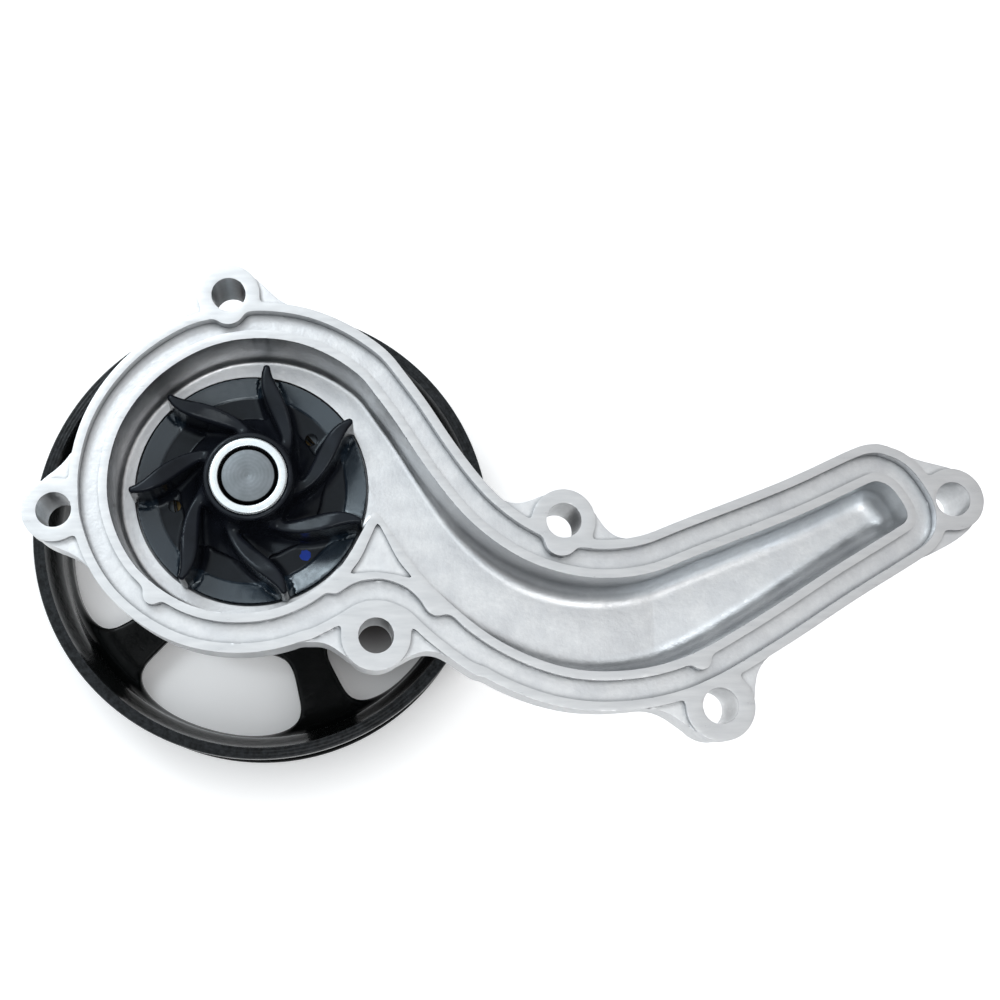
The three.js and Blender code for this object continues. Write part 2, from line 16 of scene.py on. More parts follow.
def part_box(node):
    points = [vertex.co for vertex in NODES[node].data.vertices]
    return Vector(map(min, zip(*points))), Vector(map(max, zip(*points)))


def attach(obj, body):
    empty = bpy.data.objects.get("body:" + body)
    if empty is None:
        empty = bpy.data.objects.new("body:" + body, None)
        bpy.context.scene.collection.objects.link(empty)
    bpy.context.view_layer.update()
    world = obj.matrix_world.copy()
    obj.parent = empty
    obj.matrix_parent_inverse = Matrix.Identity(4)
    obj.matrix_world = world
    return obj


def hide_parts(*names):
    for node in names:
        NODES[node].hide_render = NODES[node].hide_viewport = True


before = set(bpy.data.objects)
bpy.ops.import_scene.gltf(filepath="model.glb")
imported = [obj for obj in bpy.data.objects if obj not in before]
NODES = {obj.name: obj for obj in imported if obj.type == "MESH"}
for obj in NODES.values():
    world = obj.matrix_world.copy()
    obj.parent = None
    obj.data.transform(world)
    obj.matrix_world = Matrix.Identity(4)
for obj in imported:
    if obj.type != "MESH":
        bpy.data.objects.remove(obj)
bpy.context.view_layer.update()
MM = 0.001

# ---------- distance fields: blends of two fields, with a fillet of a radius ----------


def meet(a, b, radius):
    """What lies in both a and b, its edge rounded."""
    rounded = np.hypot(np.maximum(a + radius, 0), np.maximum(b + radius, 0))
    return np.minimum(np.maximum(a, b), -radius) + rounded


def join(a, b, radius):
    """What lies in a or b, the corner between them filled."""
    return -meet(-a, -b, radius)


def cut(a, b, radius=0.0):
    """What lies in a and not in b."""
    return np.maximum(a, -b) if radius == 0 else meet(a, -b, radius)


FAR = 99.0


def ramp(value, start, end):
    """0 before start, 1 after end, smooth between."""
    t = np.clip((value - start) / (end - start), 0, 1)
    return t * t * (3 - 2 * t)


# ---------- outlines read from the frame ----------


def face_outlines(node, level):
    """The closed outlines, in mm, of a node's flat faces that look up at a level, largest first."""
    mesh = NODES[node].data
    mesh.calc_loop_triangles()
    points = np.array([v.co for v in mesh.vertices]) / MM
    keys = {}
    ids = [keys.setdefault(tuple(p), len(keys)) for p in np.round(points, 3)]
    where = np.array(list(keys))
    flat = [
        [ids[v] for v in t.vertices]
        for t in mesh.loop_triangles
        if t.normal.z > 0.99 and all(abs(points[v][2] - level) < 0.01 for v in t.vertices)
    ]
    edges = {(t[i], t[(i + 1) % 3]) for t in flat for i in range(3)}
    following = {a: b for a, b in edges if (b, a) not in edges}
    outlines = []
    while following:
        start, at = following.popitem()
        outline = [start]
        while at != start:
            outline.append(at)
            at = following.pop(at)
        outlines.append(where[outline, :2])
    return sorted(outlines, key=lambda o: -abs(area(o)))


def area(outline):
    x, y = outline.T
    return 0.5 * float(np.sum(x * np.roll(y, -1) - y * np.roll(x, -1)))


def smoothed(outline, corner=math.radians(30), splits=4, shortest=0.4):
    """The outline run through its points as a curve that keeps its corners."""
    step = np.linalg.norm(np.roll(outline, -1, 0) - outline, axis=1)
    points = outline[step > shortest]
    ahead = np.roll(points, -1, 0) - points
    behind = np.roll(ahead, 1, 0)
    turn = np.abs(np.arctan2(
        behind[:, 0] * ahead[:, 1] - behind[:, 1] * ahead[:, 0], np.sum(behind * ahead, 1)
    ))
    length = np.linalg.norm(ahead, axis=1)
    way = ahead / length[:, None]
    back = np.roll(way, 1, 0)
    weight = (np.roll(length, 1) / (length + np.roll(length, 1)))[:, None]
    tangent = weight * way + (1 - weight) * back
    tangent /= np.linalg.norm(tangent, axis=1)[:, None]
    sharp = (turn > corner)[:, None]
    leave = np.where(sharp, way, tangent)
    arrive = np.roll(np.where(sharp, back, tangent), -1, 0)
    end = np.roll(points, -1, 0)
    out = []
    for t in np.arange(splits) / splits:
        a, b = 2 * t**3 - 3 * t**2 + 1, t**3 - 2 * t**2 + t
        c, d = 3 * t**2 - 2 * t**3, t**3 - t**2
        size = length[:, None]
        out.append(a * points + b * size * leave + c * end + d * size * arrive)
    return np.stack(out, 1).reshape(-1, 2)


PLAN_REACH = 14.0


class PlanField:
    """Signed distance from a closed outline on a plan grid, true up to PLAN_REACH from the outline.
    Each soften pass rounds its corners by about half a grid step."""

    def __init__(self, outline, xs, ys, soften):
        self.x0, self.y0, self.step = xs[0], ys[0], xs[1] - xs[0]
        far = np.full((len(xs), len(ys)), PLAN_REACH)
        crossings = np.zeros((len(xs) + 1, len(ys)), int)
        for (ax, ay), (bx, by) in zip(outline, np.roll(outline, -1, 0)):
            i0, i1 = np.searchsorted(xs, (min(ax, bx) - PLAN_REACH, max(ax, bx) + PLAN_REACH))
            j0, j1 = np.searchsorted(ys, (min(ay, by) - PLAN_REACH, max(ay, by) + PLAN_REACH))
            px, py = xs[i0:i1, None] - ax, ys[None, j0:j1] - ay
            dx, dy = bx - ax, by - ay
            t = np.clip((px * dx + py * dy) / (dx * dx + dy * dy), 0, 1)
            near = far[i0:i1, j0:j1]
            np.minimum(near, np.hypot(px - t * dx, py - t * dy), out=near)
            rows = np.nonzero((ys >= min(ay, by)) & (ys < max(ay, by)))[0]
            if len(rows):
                at = ax + (ys[rows] - ay) * dx / dy
                np.add.at(crossings, (np.searchsorted(xs, at), rows), 1)
        inside = np.cumsum(crossings, 0)[:-1] % 2 == 1
        self.grid = np.where(inside, -far, far)
        for _ in range(soften):
            for g in (self.grid, self.grid.T):
                g[1:-1] = 0.25 * g[:-2] + 0.5 * g[1:-1] + 0.25 * g[2:]

    def at(self, x, y):
        u, v = (x - self.x0) / self.step, (y - self.y0) / self.step
        i = np.clip(u.astype(int), 0, self.grid.shape[0] - 2)
        j = np.clip(v.astype(int), 0, self.grid.shape[1] - 2)
        u, v = u - i, v - j
        g = self.grid
        low = g[i, j] * (1 - v) + g[i, j + 1] * v
        high = g[i + 1, j] * (1 - v) + g[i + 1, j + 1] * v
        return low * (1 - u) + high * u


# ---------- dual contouring ----------

# Grid lines are set off by an odd amount, so that none lies on a flat face.
GRID_OFFSET = 0.013
NORMAL_STEP = 0.02
PULL_TO_MIDDLE = 0.05
CROSSING_STEPS = 3


def contour(field, values, axes):
    """Vertices and quads of the surface where field(x, y, z) is 0. values holds the field on the grid
    of the three axes. Corners and edges stay sharp where the field is."""
    inside = values < 0
    shape = np.array(values.shape) - 1
    cells, quads, facts = [], [], []
    for axis in range(3):
        low = tuple(slice(0, -1) if a == axis else slice(1, -1) for a in range(3))
        high = tuple(slice(1, None) if a == axis else slice(1, -1) for a in range(3))
        found = np.argwhere(inside[low] != inside[high])
        found += np.array([0 if a == axis else 1 for a in range(3)])
        ends = found + np.eye(3, dtype=int)[axis]
        starts_in = inside[tuple(found.T)]
        point, normal = crossing(field, values, axes, axis, found, ends)
        u, v = (axis + 1) % 3, (axis + 2) % 3
        around = []
        for du, dv in ((1, 1), (0, 1), (0, 0), (1, 0)):
            cell = found.copy()
            cell[:, u] -= du
            cell[:, v] -= dv
            around.append(np.ravel_multi_index(tuple(cell.T), tuple(shape)))
        around = np.stack(around, 1)
        quads.append(np.where(starts_in[:, None], around, around[:, ::-1]))
        cells.append(around.T.ravel())
        along = np.sum(normal * point, 1)[:, None]
        products = normal[:, [0, 0, 0, 1, 1, 2]] * normal[:, [0, 1, 2, 1, 2, 2]]
        facts.append(np.tile(np.hstack([products, normal * along, point]), (4, 1)))
    cells, quads, facts = np.concatenate(cells), np.concatenate(quads), np.concatenate(facts)
    used, index = np.unique(cells, return_inverse=True)
    count = np.bincount(index)
    total = np.stack([np.bincount(index, column) for column in facts.T], 1)
    middle = total[:, 9:] / count[:, None]
    pull = PULL_TO_MIDDLE * count
    matrix = total[:, [0, 1, 2, 1, 3, 4, 2, 4, 5]].reshape(-1, 3, 3) + pull[:, None, None] * np.eye(3)
    points = np.linalg.solve(matrix, (total[:, 6:9] + pull[:, None] * middle)[..., None])[..., 0]
    place = np.stack(np.unravel_index(used, tuple(shape)), 1)
    for a in range(3):
        points[:, a] = np.clip(points[:, a], axes[a][place[:, a]], axes[a][place[:, a] + 1])
    return points, np.searchsorted(used, quads)


def crossing(field, values, axes, axis, starts, ends):
    """Where grid edges cross the surface, and the field's direction there."""
    low = np.stack([axes[a][starts[:, a]] for a in range(3)], 1)
    length = axes[axis][ends[:, axis]] - low[:, axis]
    f0, f1 = values[tuple(starts.T)].astype(float), values[tuple(ends.T)].astype(float)
    t0, t1 = np.zeros(len(f0)), np.ones(len(f0))
    for _ in range(CROSSING_STEPS):
        t = np.clip((t0 * f1 - t1 * f0) / (f1 - f0), t0, t1)
        point = low.copy()
        point[:, axis] += t * length
        f = field(*point.T)
        same = (f < 0) == (f0 < 0)
        t0, f0 = np.where(same, t, t0), np.where(same, f, f0)
        t1, f1 = np.where(same, t1, t), np.where(same, f1, f)
        f1 = np.where(f1 == f0, f0 + 1e-9, f1)
    normal = np.empty_like(point)
    for a in range(3):
        shift = NORMAL_STEP * np.eye(3)[a]
        normal[:, a] = field(*(point + shift).T) - field(*(point - shift).T)
    normal /= np.maximum(np.linalg.norm(normal, axis=1), 1e-9)[:, None]
    return point, normal


SAME_PLACE = 1e-7
FLAT = math.radians(0.25)
CREASE = math.radians(32)


def mesh_object(name, points, faces, dissolve=True):
    """An object in metres from points in mm, its flat stretches dissolved and its creases marked."""
    mesh = bpy.data.meshes.new(name)
    mesh.from_pydata(np.asarray(points) * MM, [], np.asarray(faces).tolist())
    piece = bpy.data.objects.new(name, mesh)
    bpy.context.scene.collection.objects.link(piece)
    bm = bmesh.new()
    bm.from_mesh(mesh)
    bmesh.ops.remove_doubles(bm, verts=bm.verts, dist=SAME_PLACE)
    if dissolve:
        bmesh.ops.dissolve_limit(bm, angle_limit=FLAT, verts=bm.verts, edges=bm.edges)
        bmesh.ops.triangulate(bm, faces=[f for f in bm.faces if len(f.verts) > 4])
    for face in bm.faces:
        face.smooth = True
    bm.to_mesh(mesh)
    bm.free()
    mesh.set_sharp_from_angle(angle=CREASE)
    return piece


# ---------- the casting ----------

LAND_WIDTH = 2.2
FLANGE_THICKNESS, FLANGE_EDGE = 6.5, 0.7
GROOVE_DEPTH = 3.5
POCKET_DEPTH = 18.0
BODY_DEPTH, BODY_EDGE, BODY_FILLET = 22.0, 2.2, 1.5
CAST_WALL = 3.6
FLOOR_RISE = 5.0
RISE_FROM, RISE_TO = 100.0, 165.0
BOSS_LENGTH, BOSS_EDGE, BOSS_FILLET = 17.5, 0.5, 1.2
HOLE_RADIUS = 4.2
WEB_TOP, WEB_BOTTOM = -1.8, -14.0
WEB_FILLET = 10.8
RIM_FILLET = 2.0
SOFTEN = {"outside": 0, "seal_out": 4, "seal_in": 4, "pocket": 4, "tongue": 1}
DRAFT = 0.03
VOLUTE_FILLET, DUCT_FILLET = 1.4, 5.0
FILLET_FROM, FILLET_TO = 30.0, 75.0
SNOUT_RADIUS, SNOUT_END, SNOUT_EDGE = 19.5, -86.0, 0.8
SNOUT_DRAFT, SNOUT_FILLET = 0.018, 2.0
SEAL_BOSS_RADIUS, SEAL_BOSS_END, SEAL_BOSS_EDGE = 25.0, -36.0, 2.0
SEAL_BOSS_FILLET = 5.0
RIB_ANGLE = math.radians(60)
RIB_HALF, RIB_DRAFT, RIB_DRAFT_FROM = 2.0, 0.02, 20.0
RIB_EDGE, RIB_FILLET = 1.0, 2.0
RIB_TOP, RIB_FOOT = (33.5, -21.0), (21.0, -52.0)
RECESS_RADIUS, RECESS_END = 29.25, -20.6
BORES = ((20.0, -25.4), (17.2, -36.2), (13.0, -43.0))
RACE_BORE, RACE_SHOULDER = 15.15, -42.3
WEEP_RADIUS, WEEP_Z = 2.4, -39.2
TONGUE_DEPTH = 1.6
PLAN_STEP = 0.6
PLAN_MARGIN = 1.5
SMALLEST_OUTLINE = 10.0
SNOUT_REACH = 40.0
BEARING_LEVEL, SEAL_LEVEL = -46.0, -24.0


def casting_plan():
    """Grid lines over the casting, the plan fields of its outlines, and each boss's centre and radius."""
    low, high = (np.array(corner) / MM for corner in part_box("pump_housing"))
    xs = np.arange(low[0] - PLAN_MARGIN, high[0] + PLAN_MARGIN, PLAN_STEP)
    ys = np.arange(low[1] - PLAN_MARGIN, high[1] + PLAN_MARGIN, PLAN_STEP)
    outlines = [o for o in face_outlines("pump_housing", 0.0) if abs(area(o)) > SMALLEST_OUTLINE]
    largest_hole = 1.1 * math.pi * HOLE_RADIUS**2
    holes = [o for o in outlines if abs(area(o)) < largest_hole]
    big = [o for o in outlines if abs(area(o)) > largest_hole]
    fields = {
        name: PlanField(smoothed(outline), xs, ys, SOFTEN[name]) for name, outline in zip(SOFTEN, big)
    }
    bosses = []
    for hole in holes:
        centre = (hole.min(0) + hole.max(0)) / 2
        bosses.append((*centre, np.linalg.norm(big[0] - centre, axis=1).min()))
    return xs, ys, fields, bosses


def casting_field(fields, bosses):
    """The casting as a function of x, y and z."""

    def field(x, y, z):
        flat = [f.at(x, y) for f in fields.values()]
        return casting(x, y, z, bosses, *flat)

    return field


def casting(x, y, z, bosses, outside, seal_out, seal_in, pocket, tongue):
    """Signed distance to the casting's surface, with the plan fields' values at x and y."""
    boss = np.min([np.hypot(x - bx, y - by) - size for bx, by, size in bosses], 0)
    hole = np.min([np.hypot(x - bx, y - by) for bx, by, _ in bosses], 0) - HOLE_RADIUS
    radius = np.hypot(x, y)
    rise = FLOOR_RISE * np.clip((x - RISE_FROM) / (RISE_TO - RISE_FROM), 0, 1)

    rim = join(seal_out - LAND_WIDTH, boss, RIM_FILLET)
    flange = meet(rim, -FLANGE_THICKNESS - z, FLANGE_EDGE)
    body = pocket - CAST_WALL - DRAFT * (z + BODY_DEPTH)
    body = meet(body, rise - BODY_DEPTH - z, BODY_EDGE)
    posts = meet(boss, -BOSS_LENGTH - z, BOSS_EDGE)
    web_plan = join(seal_out - LAND_WIDTH, boss, WEB_FILLET)
    web = np.maximum(web_plan, np.abs(z - (WEB_TOP + WEB_BOTTOM) / 2) - (WEB_TOP - WEB_BOTTOM) / 2)
    metal = np.minimum(join(join(flange, body, BODY_FILLET), posts, BOSS_FILLET), web)
    metal = join(metal, snout(x, y, z, radius), SNOUT_FILLET)
    metal = np.maximum(metal, z)

    depth = meet(pocket + DRAFT * -z, rise - POCKET_DEPTH - z, floor_fillet(x))
    metal = cut(metal, depth)
    metal = cut(metal, np.maximum(radius - RECESS_RADIUS, RECESS_END - z))
    metal = cut(metal, np.maximum(np.maximum(seal_out, -seal_in), -GROOVE_DEPTH - z))
    metal = cut(metal, np.maximum(tongue, -TONGUE_DEPTH - z))
    for bore, end in BORES:
        metal = cut(metal, np.maximum(radius - bore, end - z))
    metal = cut(metal, np.maximum(radius - RACE_BORE, z - RACE_SHOULDER))
    metal = cut(metal, np.maximum(np.hypot(x, z - WEEP_Z) - WEEP_RADIUS, y))
    return cut(metal, hole)


def floor_fillet(x):
    """The radius between the pocket's wall and floor: tight in the volute, wide in the duct."""
    return VOLUTE_FILLET + (DUCT_FILLET - VOLUTE_FILLET) * ramp(x, FILLET_FROM, FILLET_TO)


def snout(x, y, z, radius):
    """The bearing snout, with the seal boss and six ribs."""
    tube = meet(radius - SNOUT_RADIUS - SNOUT_DRAFT * (z - SNOUT_END), SNOUT_END - z, SNOUT_EDGE)
    seal_boss = meet(radius - SEAL_BOSS_RADIUS, SEAL_BOSS_END - z, SEAL_BOSS_EDGE)
    tube = join(tube, seal_boss, SEAL_BOSS_FILLET)
    angle = np.arctan2(y, x)
    turn = angle - RIB_ANGLE * np.round(angle / RIB_ANGLE)
    along, across = radius * np.cos(turn), radius * np.sin(turn)
    run, drop = RIB_TOP[0] - RIB_FOOT[0], RIB_TOP[1] - RIB_FOOT[1]
    slant = ((along - RIB_TOP[0]) * drop - (z - RIB_TOP[1]) * run) / math.hypot(run, drop)
    flanks = np.abs(across) - RIB_HALF - RIB_DRAFT * (along - RIB_DRAFT_FROM)
    ribs = meet(flanks, slant, RIB_EDGE)
    below = np.maximum(z - WEB_BOTTOM, SNOUT_END - z)
    return np.maximum(join(tube, ribs, RIB_FILLET), below)


def casting_levels():
    """Grid levels: fine through the flange and pocket, coarse down the snout."""
    return np.concatenate([
        np.arange(SNOUT_END - 1.2, SNOUT_END + 2, 0.6),
        np.arange(SNOUT_END + 2.4, BEARING_LEVEL, 1.6),
        np.arange(BEARING_LEVEL, SEAL_LEVEL, 0.8),
        np.arange(SEAL_LEVEL, 1.3, 0.6),
    ]) + GRID_OFFSET


def make_casting():
    xs, ys, fields, bosses = casting_plan()
    zs = casting_levels()
    field = casting_field(fields, bosses)
    flat = [f.grid[:, :, None].astype(np.float32) for f in fields.values()]
    grid = [a.astype(np.float32) for a in np.meshgrid(xs, ys, indexing="ij")]
    x, y = (a[:, :, None] for a in grid)
    values = np.ones((len(xs), len(ys), len(zs)), np.float32)
    # Below the body there is only the snout, so the field is worked out round the axis alone.
    deep = np.searchsorted(zs, -BODY_DEPTH - 2)
    values[:, :, deep:] = casting(x, y, zs[deep:].astype(np.float32), bosses, *flat)
    i = slice(*np.searchsorted(xs, (-SNOUT_REACH, SNOUT_REACH)))
    j = slice(*np.searchsorted(ys, (-SNOUT_REACH, SNOUT_REACH)))
    values[i, j, :deep] = casting(
        x[i, j], y[i, j], zs[:deep].astype(np.float32), bosses, *(f[i, j] for f in flat)
    )
    points, quads = contour(field, values, (xs, ys, zs))
    return mesh_object("pump_casting", points, quads)


# ---------- turned pieces ----------

TURN_STEPS = 128
EDGE_STEPS = 3


def broken(profile, radius):
    """The closed profile with each corner rounded to a small radius."""
    points = np.array(profile, float)
    before, after = np.roll(points, 1, 0) - points, np.roll(points, -1, 0) - points
    out = []
    for point, back, ahead in zip(points, before, after):
        room = min(np.linalg.norm(back), np.linalg.norm(ahead))
        size = min(radius, 0.4 * room)
        start = point + back / np.linalg.norm(back) * size
        end = point + ahead / np.linalg.norm(ahead) * size
        for t in np.arange(EDGE_STEPS + 1) / EDGE_STEPS:
            out.append((1 - t) ** 2 * start + 2 * t * (1 - t) * point + t * t * end)
    return np.array(out)


def turned(name, profile, radius=0.2, steps=TURN_STEPS):
    """A piece turned about the shaft axis from a closed profile of radius and height."""
    outline = broken(profile, radius)
    angles = np.arange(steps) * 2 * math.pi / steps
    r, z = outline.T
    points = np.stack([
        np.outer(np.cos(angles), r), np.outer(np.sin(angles), r), np.tile(z, (steps, 1))
    ], 2).reshape(-1, 3)
    i, j = np.meshgrid(np.arange(steps), np.arange(len(r)), indexing="ij")
    i, j = i.ravel(), j.ravel()
    up, on = (i + 1) % steps, (j + 1) % len(r)
    n = len(r)
    faces = np.stack([i * n + j, up * n + j, up * n + on, i * n + on], 1)
    piece = mesh_object(name, points, faces, dissolve=False)
    outward(piece)
    return piece


def outward(piece):
    """Turn the piece's faces outwards."""
    bm = bmesh.new()
    bm.from_mesh(piece.data)
    bmesh.ops.recalc_face_normals(bm, faces=bm.faces)
    bm.to_mesh(piece.data)
    bm.free()


# ---------- the impeller ----------

DISC_RADIUS, DISC_FLOOR, DISC_BOTTOM, DISC_EDGE = 28.6, -18.1, -19.2, 0.2
RIM_STEP_RADIUS, PAD_TOP, PAD_SLOPE = 23.6, -16.7, 0.24
PAD_CORNER, PAD_EDGE, PAD_RIM_EDGE, PAD_FOOT = 1.2, 0.4, 0.3, 0.4
COLLAR_RADIUS, COLLAR_TOP, COLLAR_EDGE = 10.8, -0.5, 0.6
COLLAR_DRAFT, COLLAR_DRAFT_FROM = 0.11, -1.0
FLARE, FLARE_FROM, FLARE_TO, FLARE_CURVE = 5.0, -9.5, -16.2, 2.4
HUB_FILLET = 0.8
# The hub, pads and vanes end this far inside the disc, so that no two faces lie together.
SUNK, VANE_SUNK = 0.5, 0.3
INSERT_BORE = 9.65
VANE_COUNT = 7
VANE_FIRST = math.radians(82)
VANE_SWEEP = math.radians(42)
VANE_TOP, VANE_NOSE_TOP = -4.5, -7.0
NOSE_FROM, NOSE_TO = 13, 24
VANE_INNER, VANE_OUTER = 12.0, 28.3
VANE_MIDDLE, VANE_END = 4.2, 1.7
VANE_POINTS = 15
VANE_DRAFT, VANE_EDGE, VANE_FILLET = 0.03, 0.85, 2.2
VANE_TO_PAD = 1.6
TIP_UNDERSIDE = -17.2
TIP_BARE, TIP_FILLED = 28.4, 24
BALANCE_HOLES = (math.radians(41), math.radians(-168))
BALANCE_AT, BALANCE_RADIUS = 19.6, 1.5
BORE_EDGE, HOLE_EDGE = 0.3, 0.2
IMPELLER_STEP, IMPELLER_REACH = 0.4, 31


def vane_plan(x, y):
    """Distance in plan to the nearest vane."""
    best = np.full(np.broadcast(x, y).shape, FAR)
    ts = np.linspace(0, 1, VANE_POINTS)
    radius = VANE_OUTER + (VANE_INNER - VANE_OUTER) * ts
    for index in range(VANE_COUNT):
        angle = VANE_FIRST - index * 2 * math.pi / VANE_COUNT - VANE_SWEEP * ts**2
        px, py = radius * np.cos(angle), radius * np.sin(angle)
        for k in range(len(ts) - 1):
            dx, dy = px[k + 1] - px[k], py[k + 1] - py[k]
            s = np.clip(((x - px[k]) * dx + (y - py[k]) * dy) / (dx * dx + dy * dy), 0, 1)
            t = ts[k] + s * ts[1]
            half = (VANE_END + (VANE_MIDDLE - VANE_END) * np.sin(math.pi * t)) / 2
            best = np.minimum(best, np.hypot(x - px[k] - s * dx, y - py[k] - s * dy) - half)
    return best


def impeller(x, y, z):
    """Signed distance to the impeller's surface."""
    radius = np.hypot(x, y)
    vane = vane_plan(x, y)
    half = (DISC_FLOOR - DISC_BOTTOM) / 2
    disc = meet(radius - DISC_RADIUS, np.abs(z - DISC_FLOOR + half) - half, DISC_EDGE)
    pad = meet(RIM_STEP_RADIUS - radius, VANE_TO_PAD - vane, PAD_CORNER)
    pad = meet(pad, z - PAD_TOP - PAD_SLOPE * (radius - DISC_RADIUS), PAD_EDGE)
    below = np.maximum(radius - DISC_RADIUS, DISC_BOTTOM + SUNK - z)
    disc = join(disc, meet(pad, below, PAD_RIM_EDGE), PAD_FOOT)
    flare = FLARE * np.clip((FLARE_FROM - z) / (FLARE_FROM - FLARE_TO), 0, 1) ** FLARE_CURVE
    hub = radius - COLLAR_RADIUS - COLLAR_DRAFT * (COLLAR_DRAFT_FROM - z) - flare
    hub = meet(hub, z - COLLAR_TOP, COLLAR_EDGE)
    hub = np.maximum(hub, DISC_BOTTOM + SUNK - z)
    top = VANE_TOP + (VANE_NOSE_TOP - VANE_TOP) * ramp(-radius, -NOSE_TO, -NOSE_FROM)
    blades = meet(vane - VANE_DRAFT * (top - z), z - top, VANE_EDGE)
    under = np.where(radius > DISC_RADIUS, TIP_UNDERSIDE, DISC_BOTTOM + VANE_SUNK)
    blades = np.maximum(blades, under - z)
    fillet = VANE_FILLET * ramp(-radius, -TIP_BARE, -TIP_FILLED)
    body = join(join(disc, hub, HUB_FILLET), blades, fillet)
    body = np.maximum(cut(body, radius - INSERT_BORE, BORE_EDGE), DISC_BOTTOM - z)
    for angle in BALANCE_HOLES:
        hole = np.hypot(x - BALANCE_AT * math.cos(angle), y - BALANCE_AT * math.sin(angle))
        body = cut(body, hole - BALANCE_RADIUS, HOLE_EDGE)
    return body


def make_impeller():
    reach = np.arange(-IMPELLER_REACH, IMPELLER_REACH, IMPELLER_STEP)
    zs = np.arange(DISC_BOTTOM - 1, 0.6, IMPELLER_STEP) + 0.017
    grid = np.meshgrid(reach, reach, zs, indexing="ij", sparse=True)
    points, quads = contour(impeller, impeller(*grid), (reach, reach, zs))
    return mesh_object("impeller_moulding", points, quads)


# ---------- the pulley ----------

RIM_TOP, RIM_BOTTOM, RIM_RADIUS, RIM_EDGE = -72.0, -107.0, 64.6, 0.6
BELT_RADIUS, BELT_CENTRE, RIB_PITCH, BELT_RIBS, GROOVE_V = 63.0, -91.0, 3.56, 6, 2.4
BELT_HALF, BELT_FLANK, BELT_EDGE = 13.0, 0.8, 0.4
V_SLOPE, V_SHRINK, V_EDGE = 1.68, 0.51, 0.15
WALL_BORE, LIP_BORE, LIP_FROM, LIP_TO = 58.3, 61.4, -84, -71.5
WEB_FACE, WEB_THICKNESS, WEB_BEND = -98.3, 3.0, 7.0
BACK_DRAFT, BACK_BEND = 0.15, 2.5
TURNED_EDGE, WINDOW_EDGE = 0.3, 0.9
SPIGOT_BORE = 11.95
WINDOW_MIDDLE, WINDOW_REACH = 45.2, 12.2
WINDOW_HALF = math.radians(28.2)
WINDOW_FIRST = math.radians(182)
SPOKES = 5
BOLT_CIRCLE, BOLT_HOLE = 21.0, 3.45
BOLT_TURNS = [math.radians(45 + 90 * i) for i in range(4)]
UNROLL, UNROLL_STEPS = 45.0, 320
WEB_STEP, RIM_STEP = 1.1, 0.6


def window(turn, radius):
    """Distance to the nearest window's edge, in plan."""
    pitch = 2 * math.pi / SPOKES
    off = turn - WINDOW_FIRST
    off = np.abs(off - pitch * np.round(off / pitch)) / WINDOW_HALF
    out = np.abs(radius - WINDOW_MIDDLE) / WINDOW_REACH
    size = np.maximum((off**4 + out**4) ** 0.25, 0.05)
    slope = np.hypot(off**3 / (WINDOW_HALF * radius), out**3 / WINDOW_REACH) / size**3
    return (size - 1) / np.maximum(slope, 0.02)


def pulley(u, radius, z):
    """Signed distance to the pulley's surface; u is the arc length round it at the radius UNROLL."""
    turn = u / UNROLL
    height = np.abs(z - (RIM_TOP + RIM_BOTTOM) / 2) - (RIM_TOP - RIM_BOTTOM) / 2
    metal = meet(radius - RIM_RADIUS, height, RIM_EDGE)
    side = np.abs(z - BELT_CENTRE)
    flanks = side - BELT_HALF - BELT_FLANK * (radius - BELT_RADIUS)
    metal = cut(metal, meet(BELT_RADIUS - radius, flanks, BELT_EDGE), BELT_EDGE)
    place = (z - BELT_CENTRE) / RIB_PITCH + BELT_RIBS / 2
    valley = np.abs(place - np.floor(place) - 0.5) * RIB_PITCH
    ribs = (BELT_RADIUS - GROOVE_V + V_SLOPE * valley - radius) * V_SHRINK
    metal = cut(metal, np.maximum(ribs, side - BELT_RIBS * RIB_PITCH / 2), V_EDGE)
    flare = (LIP_BORE - WALL_BORE) * ramp(z, LIP_FROM, LIP_TO)
    metal = cut(metal, meet(radius - WALL_BORE - flare, WEB_FACE - z, WEB_BEND), TURNED_EDGE)
    back = WEB_FACE - WEB_THICKNESS
    behind = meet(radius - WALL_BORE + BACK_DRAFT * (z - back), z - back, BACK_BEND)
    metal = cut(metal, behind, TURNED_EDGE)
    metal = cut(metal, np.maximum(window(turn, radius), z - WEB_FACE - WEB_BEND), WINDOW_EDGE)
    metal = cut(metal, radius - SPIGOT_BORE, TURNED_EDGE)
    for angle in BOLT_TURNS:
        hole = np.hypot(
            radius * np.cos(turn) - BOLT_CIRCLE * math.cos(angle),
            radius * np.sin(turn) - BOLT_CIRCLE * math.sin(angle),
        )
        metal = cut(metal, hole - BOLT_HOLE, HOLE_EDGE)
    return metal


def make_pulley():
    """The pulley, contoured unrolled, with a few steps past a full turn, then rolled up."""
    arc = 2 * math.pi * UNROLL / UNROLL_STEPS
    us = (np.arange(-3, UNROLL_STEPS + 4) + 0.3) * arc
    web, rim = np.arange(10.5, 55, WEB_STEP), np.arange(55.2, 66, WEB_STEP / 2)
    rs = np.concatenate([web, rim]) + 0.01
    zs = np.arange(RIM_BOTTOM - 1, RIM_TOP + 1.2, RIM_STEP) + GRID_OFFSET
    grid = np.meshgrid(us, rs, zs, indexing="ij", sparse=True)
    points, quads = contour(pulley, pulley(*grid), (us, rs, zs))
    middle = points[quads, 0].mean(1)
    quads = quads[(middle >= 0) & (middle < UNROLL_STEPS * arc)]
    used, quads = np.unique(quads, return_inverse=True)
    u, r, z = points[used].T
    places = np.stack([r * np.cos(u / UNROLL), r * np.sin(u / UNROLL), z], 1)
    piece = mesh_object("pulley_pressing", places, quads.reshape(-1, 4))
    outward(piece)
    return piece


# ---------- bolts, balls, cages and the seal's spring ----------

